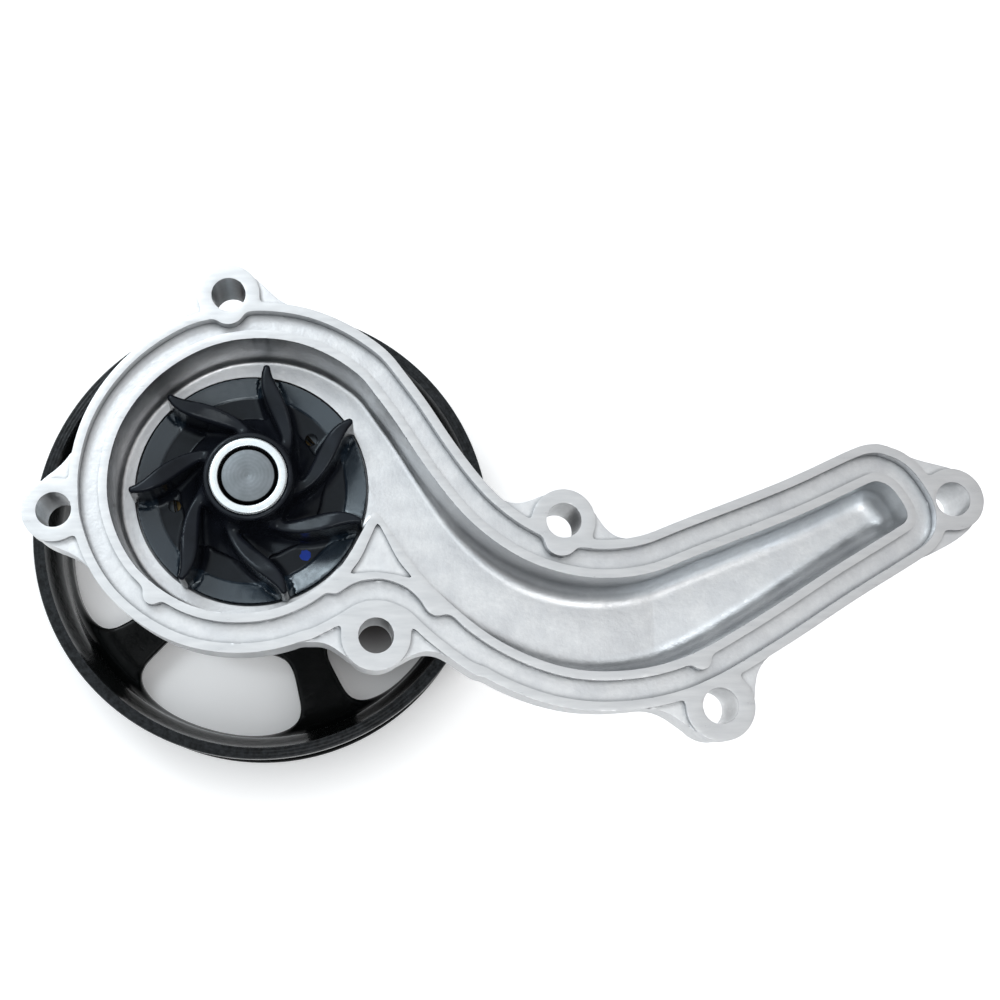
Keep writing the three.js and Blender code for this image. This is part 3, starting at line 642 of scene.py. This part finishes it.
BOLT_RADIUS, BOLT_TIP, BOLT_SEAT, BOLT_TIP_EDGE = 3.0, -94.5, -101.45, 0.5
BOLT_FLANGE, BOLT_FLANGE_HEIGHT, BOLT_FLANGE_EDGE = 6.6, 1.2, 0.3
SKIRT_SLOPE, SKIRT_SHRINK, SHANK_FILLET = 0.4, 0.9, 0.1
HEX_HALF, HEAD_HEIGHT, HEX_EDGE, HEAD_FILLET = 4.5, 5.0, 0.12, 0.4
CROWN_OUT, CROWN_SLOPE, CROWN_SHRINK = 0.1, 1.7, 0.5
DISH_RADIUS, DISH_DEPTH, DISH_EDGE = 7.0, 1.0, 0.2
SMALL_STEP, SMALL_OFFSET = 0.36, 0.011
CAGE_STEP = 0.42
BALL_ROWS = {"upper": -52.0, "lower": -76.0}
BALLS = 7
BALL_RADIUS, BALL_CIRCLE = 2.55, 10.08
CAGE_BORE, CAGE_OUTSIDE, CAGE_HALF, CAGE_EDGE = 9.4, 10.9, 3.5, 0.15
CAGE_POCKET, POCKET_EDGE = 2.85, 0.12
SPRING_TURNS, SPRING_RADIUS, SPRING_WIRE = 3, 14.4, 0.5
SPRING_TOP, SPRING_BOTTOM = -28.9, -33.6


def bolt(x, y, z):
    """A flange bolt on the axis, head down."""
    radius = np.hypot(x, y)
    head_end = BOLT_SEAT - HEAD_HEIGHT
    shank = meet(radius - BOLT_RADIUS, z - BOLT_TIP, BOLT_TIP_EDGE)
    skirt = (BOLT_SEAT - z - BOLT_FLANGE_HEIGHT) * SKIRT_SHRINK
    skirt = skirt + np.maximum(radius - HEX_HALF, 0) * SKIRT_SLOPE
    flange = meet(radius - BOLT_FLANGE, z - BOLT_SEAT, BOLT_FLANGE_EDGE)
    flange = meet(flange, skirt, BOLT_FLANGE_EDGE)
    flats = [x * math.cos(a) + y * math.sin(a) for a in np.arange(6) * math.pi / 3]
    head = meet(np.max(flats, 0) - HEX_HALF, head_end - z, HEX_EDGE)
    crown = (radius - HEX_HALF - CROWN_OUT + CROWN_SLOPE * (head_end - z)) * CROWN_SHRINK
    head = np.maximum(np.maximum(head, crown), z - BOLT_SEAT)
    dish = np.hypot(radius, z - head_end + DISH_RADIUS - DISH_DEPTH) - DISH_RADIUS
    return cut(join(join(shank, flange, SHANK_FILLET), head, HEAD_FILLET), dish, DISH_EDGE)


def solid(name, field, axes):
    """A piece from a field on Cartesian grid lines."""
    grid = np.meshgrid(*axes, indexing="ij", sparse=True)
    return mesh_object(name, *contour(field, field(*grid), axes))


def make_bolt(number, angle):
    reach = np.arange(-7.6, 7.8, SMALL_STEP) + SMALL_OFFSET
    down = np.arange(BOLT_SEAT - HEAD_HEIGHT - 1, BOLT_TIP + 1.2, SMALL_STEP) + GRID_OFFSET
    piece = solid(f"flange_bolt_{number}", bolt, (reach, reach, down))
    offset = Vector((math.cos(angle), math.sin(angle), 0)) * BOLT_CIRCLE * MM
    piece.data.transform(Matrix.Translation(offset) @ Matrix.Rotation(angle, 4, "Z"))
    return piece


def make_ball(row, number):
    angle = (number - 1) * 2 * math.pi / BALLS
    bm = bmesh.new()
    bmesh.ops.create_icosphere(bm, subdivisions=4, radius=BALL_RADIUS * MM)
    place = Vector((BALL_CIRCLE * math.cos(angle), BALL_CIRCLE * math.sin(angle), BALL_ROWS[row])) * MM
    bmesh.ops.translate(bm, verts=bm.verts, vec=place)
    for face in bm.faces:
        face.smooth = True
    mesh = bpy.data.meshes.new(f"bearing_ball_{row}_{number}")
    bm.to_mesh(mesh)
    bm.free()
    piece = bpy.data.objects.new(mesh.name, mesh)
    bpy.context.scene.collection.objects.link(piece)
    return piece


def make_cage(row):
    """A ball retainer: a ring with round pockets."""
    level = BALL_ROWS[row]

    def cage(x, y, z):
        radius = np.hypot(x, y)
        middle = (CAGE_OUTSIDE + CAGE_BORE) / 2
        half = (CAGE_OUTSIDE - CAGE_BORE) / 2
        band = meet(np.abs(radius - middle) - half, np.abs(z - level) - CAGE_HALF, CAGE_EDGE)
        for angle in np.arange(BALLS) * 2 * math.pi / BALLS:
            along = x * math.cos(angle) + y * math.sin(angle)
            across = y * math.cos(angle) - x * math.sin(angle)
            pocket = np.where(along > 0, np.hypot(across, z - level) - CAGE_POCKET, FAR)
            band = cut(band, pocket, POCKET_EDGE)
        return band

    reach = np.arange(-12, 12.2, CAGE_STEP) + SMALL_OFFSET
    down = np.arange(level - CAGE_HALF - 1, level + CAGE_HALF + 1.2, CAGE_STEP) + GRID_OFFSET
    return solid(f"ball_retainer_{row}", cage, (reach, reach, down))


def make_spring():
    """The seal's coil spring: a round wire along a helix, its ends closed."""
    along, around = 60 * SPRING_TURNS, 12
    points, faces = [], []
    for i in range(along + 1):
        t = i / along
        turn = 2 * math.pi * SPRING_TURNS * t
        height = SPRING_TOP + (SPRING_BOTTOM - SPRING_TOP) * t
        for k in range(around):
            a = 2 * math.pi * k / around
            radius = SPRING_RADIUS + SPRING_WIRE * math.cos(a)
            rise = SPRING_WIRE * math.sin(a)
            points.append((radius * math.cos(turn), radius * math.sin(turn), height + rise))
    for i in range(along):
        for k in range(around):
            on = (k + 1) % around
            faces.append((i * around + k, i * around + on, (i + 1) * around + on, (i + 1) * around + k))
    mesh = bpy.data.meshes.new("spring_wire")
    ends = [tuple(range(around)), tuple(along * around + k for k in reversed(range(around)))]
    mesh.from_pydata([tuple(c * MM for c in p) for p in points], [], faces + ends)
    piece = bpy.data.objects.new("spring_wire", mesh)
    bpy.context.scene.collection.objects.link(piece)
    outward(piece)
    mesh.polygons.foreach_set("use_smooth", [True] * len(mesh.polygons))
    mesh.set_sharp_from_angle(angle=CREASE)
    return piece


# ---------- finishes ----------


class Nodes:
    """A node tree built node by node."""

    def __init__(self, tree):
        self.tree = tree

    def put(self, node, key, value):
        """Link an output to an input, or set the input's value."""
        if isinstance(value, bpy.types.NodeSocket):
            self.tree.links.new(value, node.inputs[key])
        else:
            node.inputs[key].default_value = value

    def add(self, kind, inputs=(), **settings):
        """A node, with settings on it and values or links on its first inputs."""
        node = self.tree.nodes.new(kind)
        for key, value in settings.items():
            setattr(node, key, value)
        for key, value in inputs.items() if isinstance(inputs, dict) else enumerate(inputs):
            self.put(node, key, value)
        return node

    def math(self, operation, *values):
        return self.add("ShaderNodeMath", values, operation=operation).outputs[0]

    def span(self, value, start, end, low=0.0, high=1.0, kind="LINEAR"):
        """value mapped from start..end to low..high and held at the ends."""
        inputs = (value, start, end, low, high)
        return self.add("ShaderNodeMapRange", inputs, interpolation_type=kind).outputs[0]

    def blend(self, factor, low, high):
        """A colour between two, or between two colour outputs."""
        node = self.add("ShaderNodeMix", [factor], data_type="RGBA")
        for index, colour in ((6, low), (7, high)):
            self.put(node, index, (*colour, 1) if isinstance(colour, tuple) else colour)
        return node.outputs[2]


class Finish(Nodes):
    """A material, its patterns in the object's own coordinates."""

    def __init__(self, name, **sockets):
        self.material = bpy.data.materials.new(name)
        self.material.use_nodes = True
        super().__init__(self.material.node_tree)
        self.shader = self.tree.nodes["Principled BSDF"]
        coordinates = self.add("ShaderNodeTexCoord")
        self.place, self.facing = coordinates.outputs["Object"], coordinates.outputs["Normal"]
        self.height = self.add("ShaderNodeSeparateXYZ", [self.place]).outputs["Z"]
        for socket, value in sockets.items():
            self.shader.inputs[socket.replace("_", " ")].default_value = value

    def crevice(self, reach):
        """1 in the open, towards 0 where walls within a reach stand close."""
        node = self.add("ShaderNodeAmbientOcclusion", {"Distance": reach}, samples=6)
        return node.outputs["AO"]

    def noise(self, scale, detail=2.0, rough=0.5, stretch=(1, 1, 1)):
        """Noise with features about 1 / scale metres across."""
        where = self.add("ShaderNodeMapping", {"Vector": self.place, "Scale": stretch}).outputs[0]
        inputs = {"Vector": where, "Scale": scale, "Detail": detail, "Roughness": rough}
        return self.add("ShaderNodeTexNoise", inputs).outputs["Fac"]

    def radius(self):
        """Distance from the shaft axis, in metres."""
        parts = self.add("ShaderNodeSeparateXYZ", [self.place]).outputs
        squares = self.math("ADD", self.math("POWER", parts[0], 2.0), self.math("POWER", parts[1], 2.0))
        return self.math("SQRT", squares)

    def rings(self, pitch):
        """Turning marks: a fine wave across the radius, -1 to 1."""
        uneven = self.math("MULTIPLY", self.noise(900, 1), 2.0)
        phase = self.math("MULTIPLY", self.radius(), 2 * math.pi / pitch)
        return self.math("SINE", self.math("ADD", phase, uneven))

    def link(self, socket, value):
        self.tree.links.new(value, self.shader.inputs[socket])

    def bump(self, height, distance, strength=1.0):
        """Relief of height times distance, in metres, over any relief already there."""
        node = self.add("ShaderNodeBump", {"Height": height, "Distance": distance, "Strength": strength})
        last = self.shader.inputs["Normal"].links
        if last:
            self.tree.links.new(last[0].from_socket, node.inputs["Normal"])
        self.link("Normal", node.outputs[0])


# The colour of painted shade on the casting: corners, holes, the recess floor and near-side walls.
PAINTED_SHADE = (0.07, 0.08, 0.09)
RECESS_FLOOR = RECESS_END * MM


def cast_aluminium():
    """Die-cast aluminium, machined on the mounting face. Painted shade darkens it in corners and holes,
    on the recess floor behind the impeller and on walls that look to the near side."""
    f = Finish("cast_aluminium", Metallic=1.0)
    machined = f.span(f.height, -0.00022, -0.00008)
    blotch = f.span(f.noise(150, 4, 0.6), 0.35, 0.65)
    mottle = f.span(f.noise(900, 3, 0.6), 0.3, 0.7)
    skin = f.blend(blotch, (0.70, 0.71, 0.725), (0.82, 0.825, 0.83))
    skin = f.blend(f.math("MULTIPLY", mottle, 0.25), skin, (0.58, 0.595, 0.61))
    streak = f.span(f.noise(300, 3, 0.6, (0.35, 2.2, 1)), 0.3, 0.7)
    face = f.blend(streak, (0.64, 0.65, 0.66), (0.72, 0.725, 0.73))
    # Painted shade: darker where walls stand close, in corners and down the holes.
    corners = f.span(f.crevice(0.0011), 0.35, 0.95, 0.2, 1.0)
    holes = f.span(f.crevice(0.009), 0.08, 0.5, 0.35, 1.0)
    # Painted shade on the recess floor behind the impeller.
    lower = f.span(f.height, RECESS_FLOOR - 0.0008, RECESS_FLOOR - 0.0004, 1, 0)
    outer = f.span(f.radius(), RECESS_RADIUS * MM - 0.00075, RECESS_RADIUS * MM - 0.00005)
    upper = f.span(f.height, RECESS_FLOOR + 0.0006, RECESS_FLOOR + 0.0016)
    off_recess = f.math("MAXIMUM", upper, f.math("MAXIMUM", lower, outer))
    # Painted shade on walls that look to the near side.
    north = f.add("ShaderNodeSeparateXYZ", [f.facing]).outputs["Y"]
    level = f.math("MULTIPLY", f.math("MULTIPLY", corners, holes), off_recess)
    level = f.math("MULTIPLY", level, f.span(north, -0.95, -0.35, 0.5, 1.0))
    f.link("Base Color", f.blend(level, PAINTED_SHADE, f.blend(machined, skin, face)))
    dull = f.math("ADD", f.span(blotch, 0, 1, 0.28, 0.38), f.math("MULTIPLY", mottle, 0.08))
    bright = f.span(streak, 0, 1, 0.27, 0.36)
    f.link("Roughness", f.math("ADD", f.math("MULTIPLY", machined, f.math("SUBTRACT", bright, dull)), dull))
    rough = f.math("SUBTRACT", 1.0, machined)
    f.bump(f.math("MULTIPLY", rough, f.noise(1500, 3, 0.6)), 0.00007, 0.6)
    f.bump(f.math("MULTIPLY", rough, f.noise(220, 2)), 0.0002, 0.5)
    f.bump(f.math("MULTIPLY", machined, f.noise(700, 2, 0.5, (0.15, 2.5, 1))), 0.00003, 0.5)
    return f.material


DOT_AT, DOT_ANGLE, DOT_RADIUS = 0.0214, math.radians(-51), 0.00125


def black_resin():
    """Glossy black moulded resin, with a marking dot. The disc's rim has a blue sheen: a painted reflection
    in its colour and a stronger specular reflection besides.
    """
    f = Finish("black_resin", Metallic=0.0, Specular_Tint=(0.86, 0.95, 1.0, 1))
    cloud = f.span(f.noise(180, 3), 0.3, 0.7)
    body = f.blend(cloud, (0.006, 0.007, 0.010), (0.012, 0.014, 0.020))
    parts = f.add("ShaderNodeSeparateXYZ", [f.place]).outputs
    dx = f.math("SUBTRACT", parts[0], DOT_AT * math.cos(DOT_ANGLE))
    dy = f.math("SUBTRACT", parts[1], DOT_AT * math.sin(DOT_ANGLE))
    off = f.math("SQRT", f.math("ADD", f.math("POWER", dx, 2.0), f.math("POWER", dy, 2.0)))
    off = f.math("ADD", off, f.math("MULTIPLY", f.math("SUBTRACT", f.noise(1200, 2), 0.5), 0.0008))
    low = f.span(f.height, -0.0165, -0.016, 1, 0)
    dot = f.math("MULTIPLY", f.span(off, DOT_RADIUS, DOT_RADIUS + 0.0002, 1, 0), low)
    # The disc's rim pads: a painted blue reflection in the colour, and a stronger specular reflection.
    rim = f.span(f.radius(), RIM_STEP_RADIUS * MM - 0.0003, RIM_STEP_RADIUS * MM + 0.0002)
    pads = f.math("MULTIPLY", rim, f.span(f.height, -0.0150, -0.0155))
    body = f.blend(pads, body, (0.015, 0.026, 0.040))
    f.link("Base Color", f.blend(dot, body, (0.006, 0.045, 0.42)))
    f.link("Roughness", f.span(f.noise(600, 3), 0.3, 0.7, 0.17, 0.27))
    f.bump(f.noise(350, 2), 0.00008, 0.3)
    f.link("Specular IOR Level", f.span(pads, 0, 1, 0.24, 1.0))
    return f.material


NOSE_RADIUS = 6.3
METAL_GRAIN = 1200


def metal(name, low, high, roughness, pitch=0.0003, marks=0.35, dark_from=1.0):
    """Turned or ground metal: colours between low and high, roughness as a pair, turning marks.
    From the distance dark_from of the shaft axis outwards it is painted near black, as shade."""
    f = Finish(name, Metallic=1.0)
    cloud = f.span(f.noise(240, 3, 0.6), 0.3, 0.7)
    wave = f.rings(pitch)
    tone = f.math("ADD", f.math("MULTIPLY", cloud, 0.8), f.math("MULTIPLY", wave, 0.1))
    # Painted shade: near black past dark_from, for the shaded chamfer at the shaft's nose.
    black = f.span(f.radius(), dark_from, dark_from + 0.0001)
    f.link("Base Color", f.blend(black, f.blend(tone, low, high), (0.012, 0.012, 0.013)))
    f.link("Roughness", f.span(f.noise(METAL_GRAIN, 3, 0.6), 0.3, 0.7, *roughness))
    f.bump(wave, 0.00001, marks)
    f.bump(f.noise(METAL_GRAIN, 2), 0.00003, 0.3)
    return f.material


LIP_HEIGHTS, LIP_RADII = (-0.0745, -0.0722), (0.0590, 0.0605)


def black_paint():
    """Black electro-coat: a slight orange peel, thinner and greyer on the turned lip."""
    f = Finish("black_paint", Metallic=0.0, Specular_IOR_Level=0.12)
    lip = f.math("MULTIPLY", f.span(f.height, *LIP_HEIGHTS), f.span(f.radius(), *LIP_RADII))
    wave = f.math("MULTIPLY", f.rings(0.0009), lip)
    worn = f.math("MULTIPLY", lip, f.span(f.noise(700, 3, 0.6), 0.35, 0.65, 0.3, 1.0))
    f.link("Base Color", f.blend(worn, (0.0025, 0.003, 0.003), (0.03, 0.033, 0.036)))
    f.link("Roughness", f.span(f.noise(450, 3), 0.3, 0.7, 0.14, 0.24))
    f.bump(f.noise(520, 2), 0.00018, 0.4)
    f.bump(wave, 0.00004, 0.6)
    return f.material


def matte(name, low, high, roughness, grain=900, relief=0.00008):
    """A dull moulded or sintered surface."""
    f = Finish(name, Metallic=0.0)
    f.link("Base Color", f.blend(f.span(f.noise(grain / 3, 3, 0.6), 0.3, 0.7), low, high))
    f.link("Roughness", f.span(f.noise(grain, 3), 0.3, 0.7, *roughness))
    f.bump(f.noise(grain, 3, 0.6), relief, 0.5)
    return f.material


STEEL = ((0.17, 0.19, 0.20), (0.24, 0.26, 0.28), (0.34, 0.5), 0.0009, 0.3)
FINISHES = {
    "cast_aluminium": cast_aluminium(),
    "black_resin": black_resin(),
    "zinc_steel": metal("zinc_steel", (0.78, 0.84, 0.87), (0.90, 0.94, 0.95), (0.2, 0.34), 0.0005, 0.25),
    "shaft_steel": metal("shaft_steel", *STEEL),
    # The shaft's nose, with painted shade on its chamfer.
    "shaft_nose": metal("shaft_nose", *STEEL, dark_from=NOSE_RADIUS * MM),
    "bearing_steel": metal("bearing_steel", (0.58, 0.60, 0.62), (0.68, 0.70, 0.71), (0.10, 0.20)),
    "black_paint": black_paint(),
    "rubber": matte("rubber", (0.010, 0.010, 0.011), (0.020, 0.020, 0.021), (0.55, 0.8)),
    "carbon": matte("carbon", (0.020, 0.021, 0.023), (0.034, 0.035, 0.038), (0.35, 0.5), 1800, 0.00002),
    "ceramic": matte("ceramic", (0.72, 0.69, 0.62), (0.80, 0.77, 0.70), (0.25, 0.4), 1500, 0.00001),
    "brass": metal("brass", (0.30, 0.21, 0.09), (0.42, 0.31, 0.14), (0.3, 0.45)),
    "cage_resin": matte("cage_resin", (0.16, 0.020, 0.014), (0.23, 0.034, 0.022), (0.45, 0.65)),
}


# ---------- the pieces on their bodies ----------


def fit(piece, body, finish, *nodes, look=None):
    """The piece stands for CAD nodes of a body, in a finish of the record or a special look of it."""
    piece.data.materials.clear()
    piece.data.materials.append(FINISHES[look or finish])
    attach(piece, body)
    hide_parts(*nodes)


fit(make_casting(), "housing", "cast_aluminium", "pump_housing")
fit(make_impeller(), "rotor", "black_resin", "impeller")
fit(make_pulley(), "rotor", "black_paint", "pulley")
for number, angle in enumerate(BOLT_TURNS, 1):
    fit(make_bolt(number, angle), "rotor", "zinc_steel", f"pulley_bolt_{number}")
for row in BALL_ROWS:
    fit(make_cage(row), f"{row}_ball_row", "cage_resin", f"ball_cage_{row}")
    for number in range(1, BALLS + 1):
        fit(make_ball(row, number), f"{row}_ball_row", "bearing_steel", f"ball_{row}_{number}")
fit(make_spring(), "housing", "shaft_steel", "seal_spring")


RACEWAY_RADIUS = 2.75


def raceway(side, level):
    """A ball groove in the shaft, side -1, or in the outer race, side 1, from low to high."""
    turns = np.radians(np.arange(-28, 29, 7))
    return [
        (BALL_CIRCLE + side * RACEWAY_RADIUS * math.cos(t), level + RACEWAY_RADIUS * math.sin(t))
        for t in turns
    ]


SHAFT_RADIUS = 7.96
UPPER, LOWER = BALL_ROWS["upper"], BALL_ROWS["lower"]
SHAFT = [
    (0, 0), (NOSE_RADIUS, 0), (6.9, -1.6), (6.9, -19.6), (SHAFT_RADIUS, -19.6),
    *reversed(raceway(-1, UPPER)), *reversed(raceway(-1, LOWER)),
    (SHAFT_RADIUS, -102), (0, -102),
]
RACE = [
    (12.2, -85.4), *raceway(1, LOWER), *raceway(1, UPPER), (12.2, -42.6), (15, -42.6), (15, -85.4),
]
INSERT = [(7.05, -18.9), (9.5, -18.9), (9.5, -0.4), (9.1, 0), (7.35, 0), (7.05, -0.9)]
HUB = [
    (8.11, -102.4), (11.8, -102.4), (11.8, -98.15), (29, -98.15), (29, -94), (14, -93.4), (13, -88),
    (8.11, -88),
]
BOOT = [
    (8.11, -24), (9.3, -24), (9.3, -20.9), (14, -20.9), (14, -23.6), (14.8, -23.6), (14.8, -20),
    (8.11, -20),
]
BELLOWS = [
    (9.2, -34.2), (12.6, -34.2), (12.6, -32.8), (10.6, -32), (12.6, -31.2), (12.6, -28.9),
    (9.2, -28.9),
]
CUP = [
    (9.4, -35.8), (17, -35.8), (17, -25.2), (19.6, -25.2), (19.6, -24.5), (16.2, -24.5), (16.2, -35),
    (9.4, -35),
]
SLINGER = [(8.11, -41.2), (9.6, -41.2), (11.8, -38.2), (11.8, -37.4), (8.11, -39)]


def band(inner, outer, low, high):
    return [(inner, low), (outer, low), (outer, high), (inner, high)]


TURNED = [
    ("outer_race_ring", RACE, 0.35, "housing", "bearing_steel", "bearing_outer_race"),
    ("race_seal_upper", band(8.41, 12.05, -45.4, -43.8), 0.2, "housing", "rubber", "bearing_seal_upper"),
    ("race_seal_lower", band(8.41, 12.05, -84.2, -82.6), 0.2, "housing", "rubber", "bearing_seal_lower"),
    ("seal_shell", CUP, 0.4, "housing", "brass", "seal_cup"),
    ("seal_gaiter", BELLOWS, 0.5, "housing", "rubber", "seal_bellows"),
    ("carbon_face", band(10, 13.2, -28.7, -24.9), 0.25, "housing", "carbon", "seal_carbon_ring"),
    ("steel_shaft", SHAFT, 0.15, "rotor", "shaft_steel", "shaft"),
    ("zinc_insert", INSERT, 0.2, "rotor", "zinc_steel", "impeller_hub_insert"),
    ("seat_gasket", BOOT, 0.25, "rotor", "rubber", "seal_seat_boot"),
    ("ceramic_face", band(9.5, 13.8, -24.6, -21.1), 0.25, "rotor", "ceramic", "seal_ceramic_seat"),
    ("slinger_ring", SLINGER, 0.25, "rotor", "rubber", "shaft_slinger"),
    ("drive_hub", HUB, 0.5, "rotor", "zinc_steel", "pulley_hub"),
]
for name, profile, radius, body, finish, node in TURNED:
    look = "shaft_nose" if node == "shaft" else None
    fit(turned(name, profile, radius), body, finish, node, look=look)


# ---------- floor, light and camera ----------

FLOOR_Z = RIM_BOTTOM * MM
FLOOR_RINGS = ((5.0, 0), (5.8, 0.04), (6.4, 0.16), (6.8, 0.40), (7.0, 0.75))
FLOOR_SIDES = 96
FLOOR_GAP = 0.0002
# The floor's own light, dim under the pulley and stronger beyond its rim.
FLOOR_GLOW, GLOW_REACH = (0.16, 0.55), (0.058, 0.078)
# A patch of deep shade under the volute.
SHADE_MIDDLE = (0.032, -0.008, FLOOR_Z)
SHADE_REACH = (0.016, 0.044)
SKY_LEFT, SKY_RIGHT = (1.20, 1.28, 1.33), (0.66, 0.65, 0.65)
SIDE_REACH = 0.45
HORIZON_DIM, HORIZON_REACH = 0.12, (0.05, 0.75)
SOUTH_DIM, SOUTH_REACH = 0.12, (-0.75, -0.15)


def floor():
    """A pale floor under the pump, its far edge turned up a little so that no horizon shows."""
    bm = bmesh.new()
    rings = []
    for radius, height in FLOOR_RINGS:
        turns = [2 * math.pi * k / FLOOR_SIDES for k in range(FLOOR_SIDES)]
        rings.append([
            bm.verts.new((radius * math.cos(t), radius * math.sin(t), height)) for t in turns
        ])
    bm.faces.new(rings[0])
    for inner, outer in zip(rings, rings[1:]):
        for k in range(FLOOR_SIDES):
            bm.faces.new((inner[k - 1], outer[k - 1], outer[k], inner[k]))
    mesh = bpy.data.meshes.new("studio_floor")
    bm.normal_update()
    bm.to_mesh(mesh)
    bm.free()
    mesh.transform(Matrix.Translation((0, 0, FLOOR_Z - FLOOR_GAP)))
    paper = Finish("paper_floor", Roughness=0.9, Emission_Color=(1, 1, 1, 1))
    away = paper.add("ShaderNodeVectorMath", [paper.place, SHADE_MIDDLE], operation="DISTANCE")
    lit = paper.span(away.outputs["Value"], *SHADE_REACH, kind="SMOOTHSTEP")
    glow = paper.span(paper.radius(), *GLOW_REACH, *FLOOR_GLOW)
    paper.link("Emission Strength", paper.math("MULTIPLY", glow, lit))
    white = paper.blend(paper.noise(40, 2), (0.93, 0.93, 0.93), (0.95, 0.95, 0.95))
    paper.link("Base Color", paper.blend(lit, (0.035, 0.03, 0.03), white))
    mesh.materials.append(paper.material)
    piece = bpy.data.objects.new("studio_floor", mesh)
    bpy.context.scene.collection.objects.link(piece)


LIGHT_TARGET = Vector((0.05, 0, 0))


def softbox(name, place, size, power, colour):
    """A square light that faces the pump's middle."""
    light = bpy.data.lights.new(name, "AREA")
    light.shape = "SQUARE"
    light.size = size
    light.energy = power
    light.color = colour
    lamp = bpy.data.objects.new(name, light)
    lamp.location = place
    lamp.rotation_euler = (LIGHT_TARGET - Vector(place)).to_track_quat("-Z", "Y").to_euler()
    bpy.context.scene.collection.objects.link(lamp)


def sky():
    """Soft white light: cool and bright from the left, dim near the horizon and on the near side."""
    world = bpy.data.worlds.new("studio_sky")
    world.use_nodes = True
    w = Nodes(world.node_tree)
    direction = w.add("ShaderNodeTexCoord").outputs["Generated"]
    east, north, up = w.add("ShaderNodeSeparateXYZ", [direction]).outputs
    height = w.span(up, *HORIZON_REACH, HORIZON_DIM, 1)
    depth = w.span(north, *SOUTH_REACH, SOUTH_DIM, 1)
    background = w.tree.nodes["Background"].inputs
    colour = w.blend(w.span(east, -SIDE_REACH, SIDE_REACH), SKY_LEFT, SKY_RIGHT)
    w.tree.links.new(colour, background["Color"])
    w.tree.links.new(w.math("MULTIPLY", height, depth), background["Strength"])
    bpy.context.scene.world = world


LENS = 57.6
LENS_SHIFT = (0.093, -0.089)
STRAIGHT_DOWN = (-0.03879, 0.24064, 0.96984)
SHAFT_END = (-0.03821, 0.01543, 0.384)


def camera():
    """The photograph's view, from above and a little to the front.

    The world's down and the origin, at the shaft's end, are given as the camera sees them, with
    x to the right, y down the picture and z away from it.
    """
    down = Vector(STRAIGHT_DOWN).normalized()
    east = Vector((0, 1, 0)).cross(down).normalized()
    north = east.cross(down)
    axes = (east, north, -down)
    place = Vector([-axis.dot(Vector(SHAFT_END)) for axis in axes])
    right = Vector([axis[0] for axis in axes])
    upward = -Vector([axis[1] for axis in axes])
    back = -Vector([axis[2] for axis in axes])
    turn = Matrix((right, upward, back)).transposed()
    view = bpy.data.cameras.new("photo_camera")
    view.lens = LENS
    view.shift_x, view.shift_y = LENS_SHIFT
    view.clip_start = 0.01
    eye = bpy.data.objects.new("photo_camera", view)
    eye.matrix_world = Matrix.Translation(place) @ turn.to_4x4()
    bpy.context.scene.collection.objects.link(eye)
    bpy.context.scene.camera = eye


floor()
sky()
softbox("key_light", place=(-0.42, 0.6, 0.95), size=0.4, power=3.0, colour=(0.88, 0.95, 1))
softbox("front_light", place=(0.15, -0.42, 0.95), size=0.35, power=1.2, colour=(1, 1, 1))
camera()
bpy.context.scene.view_settings.view_transform = "Standard"
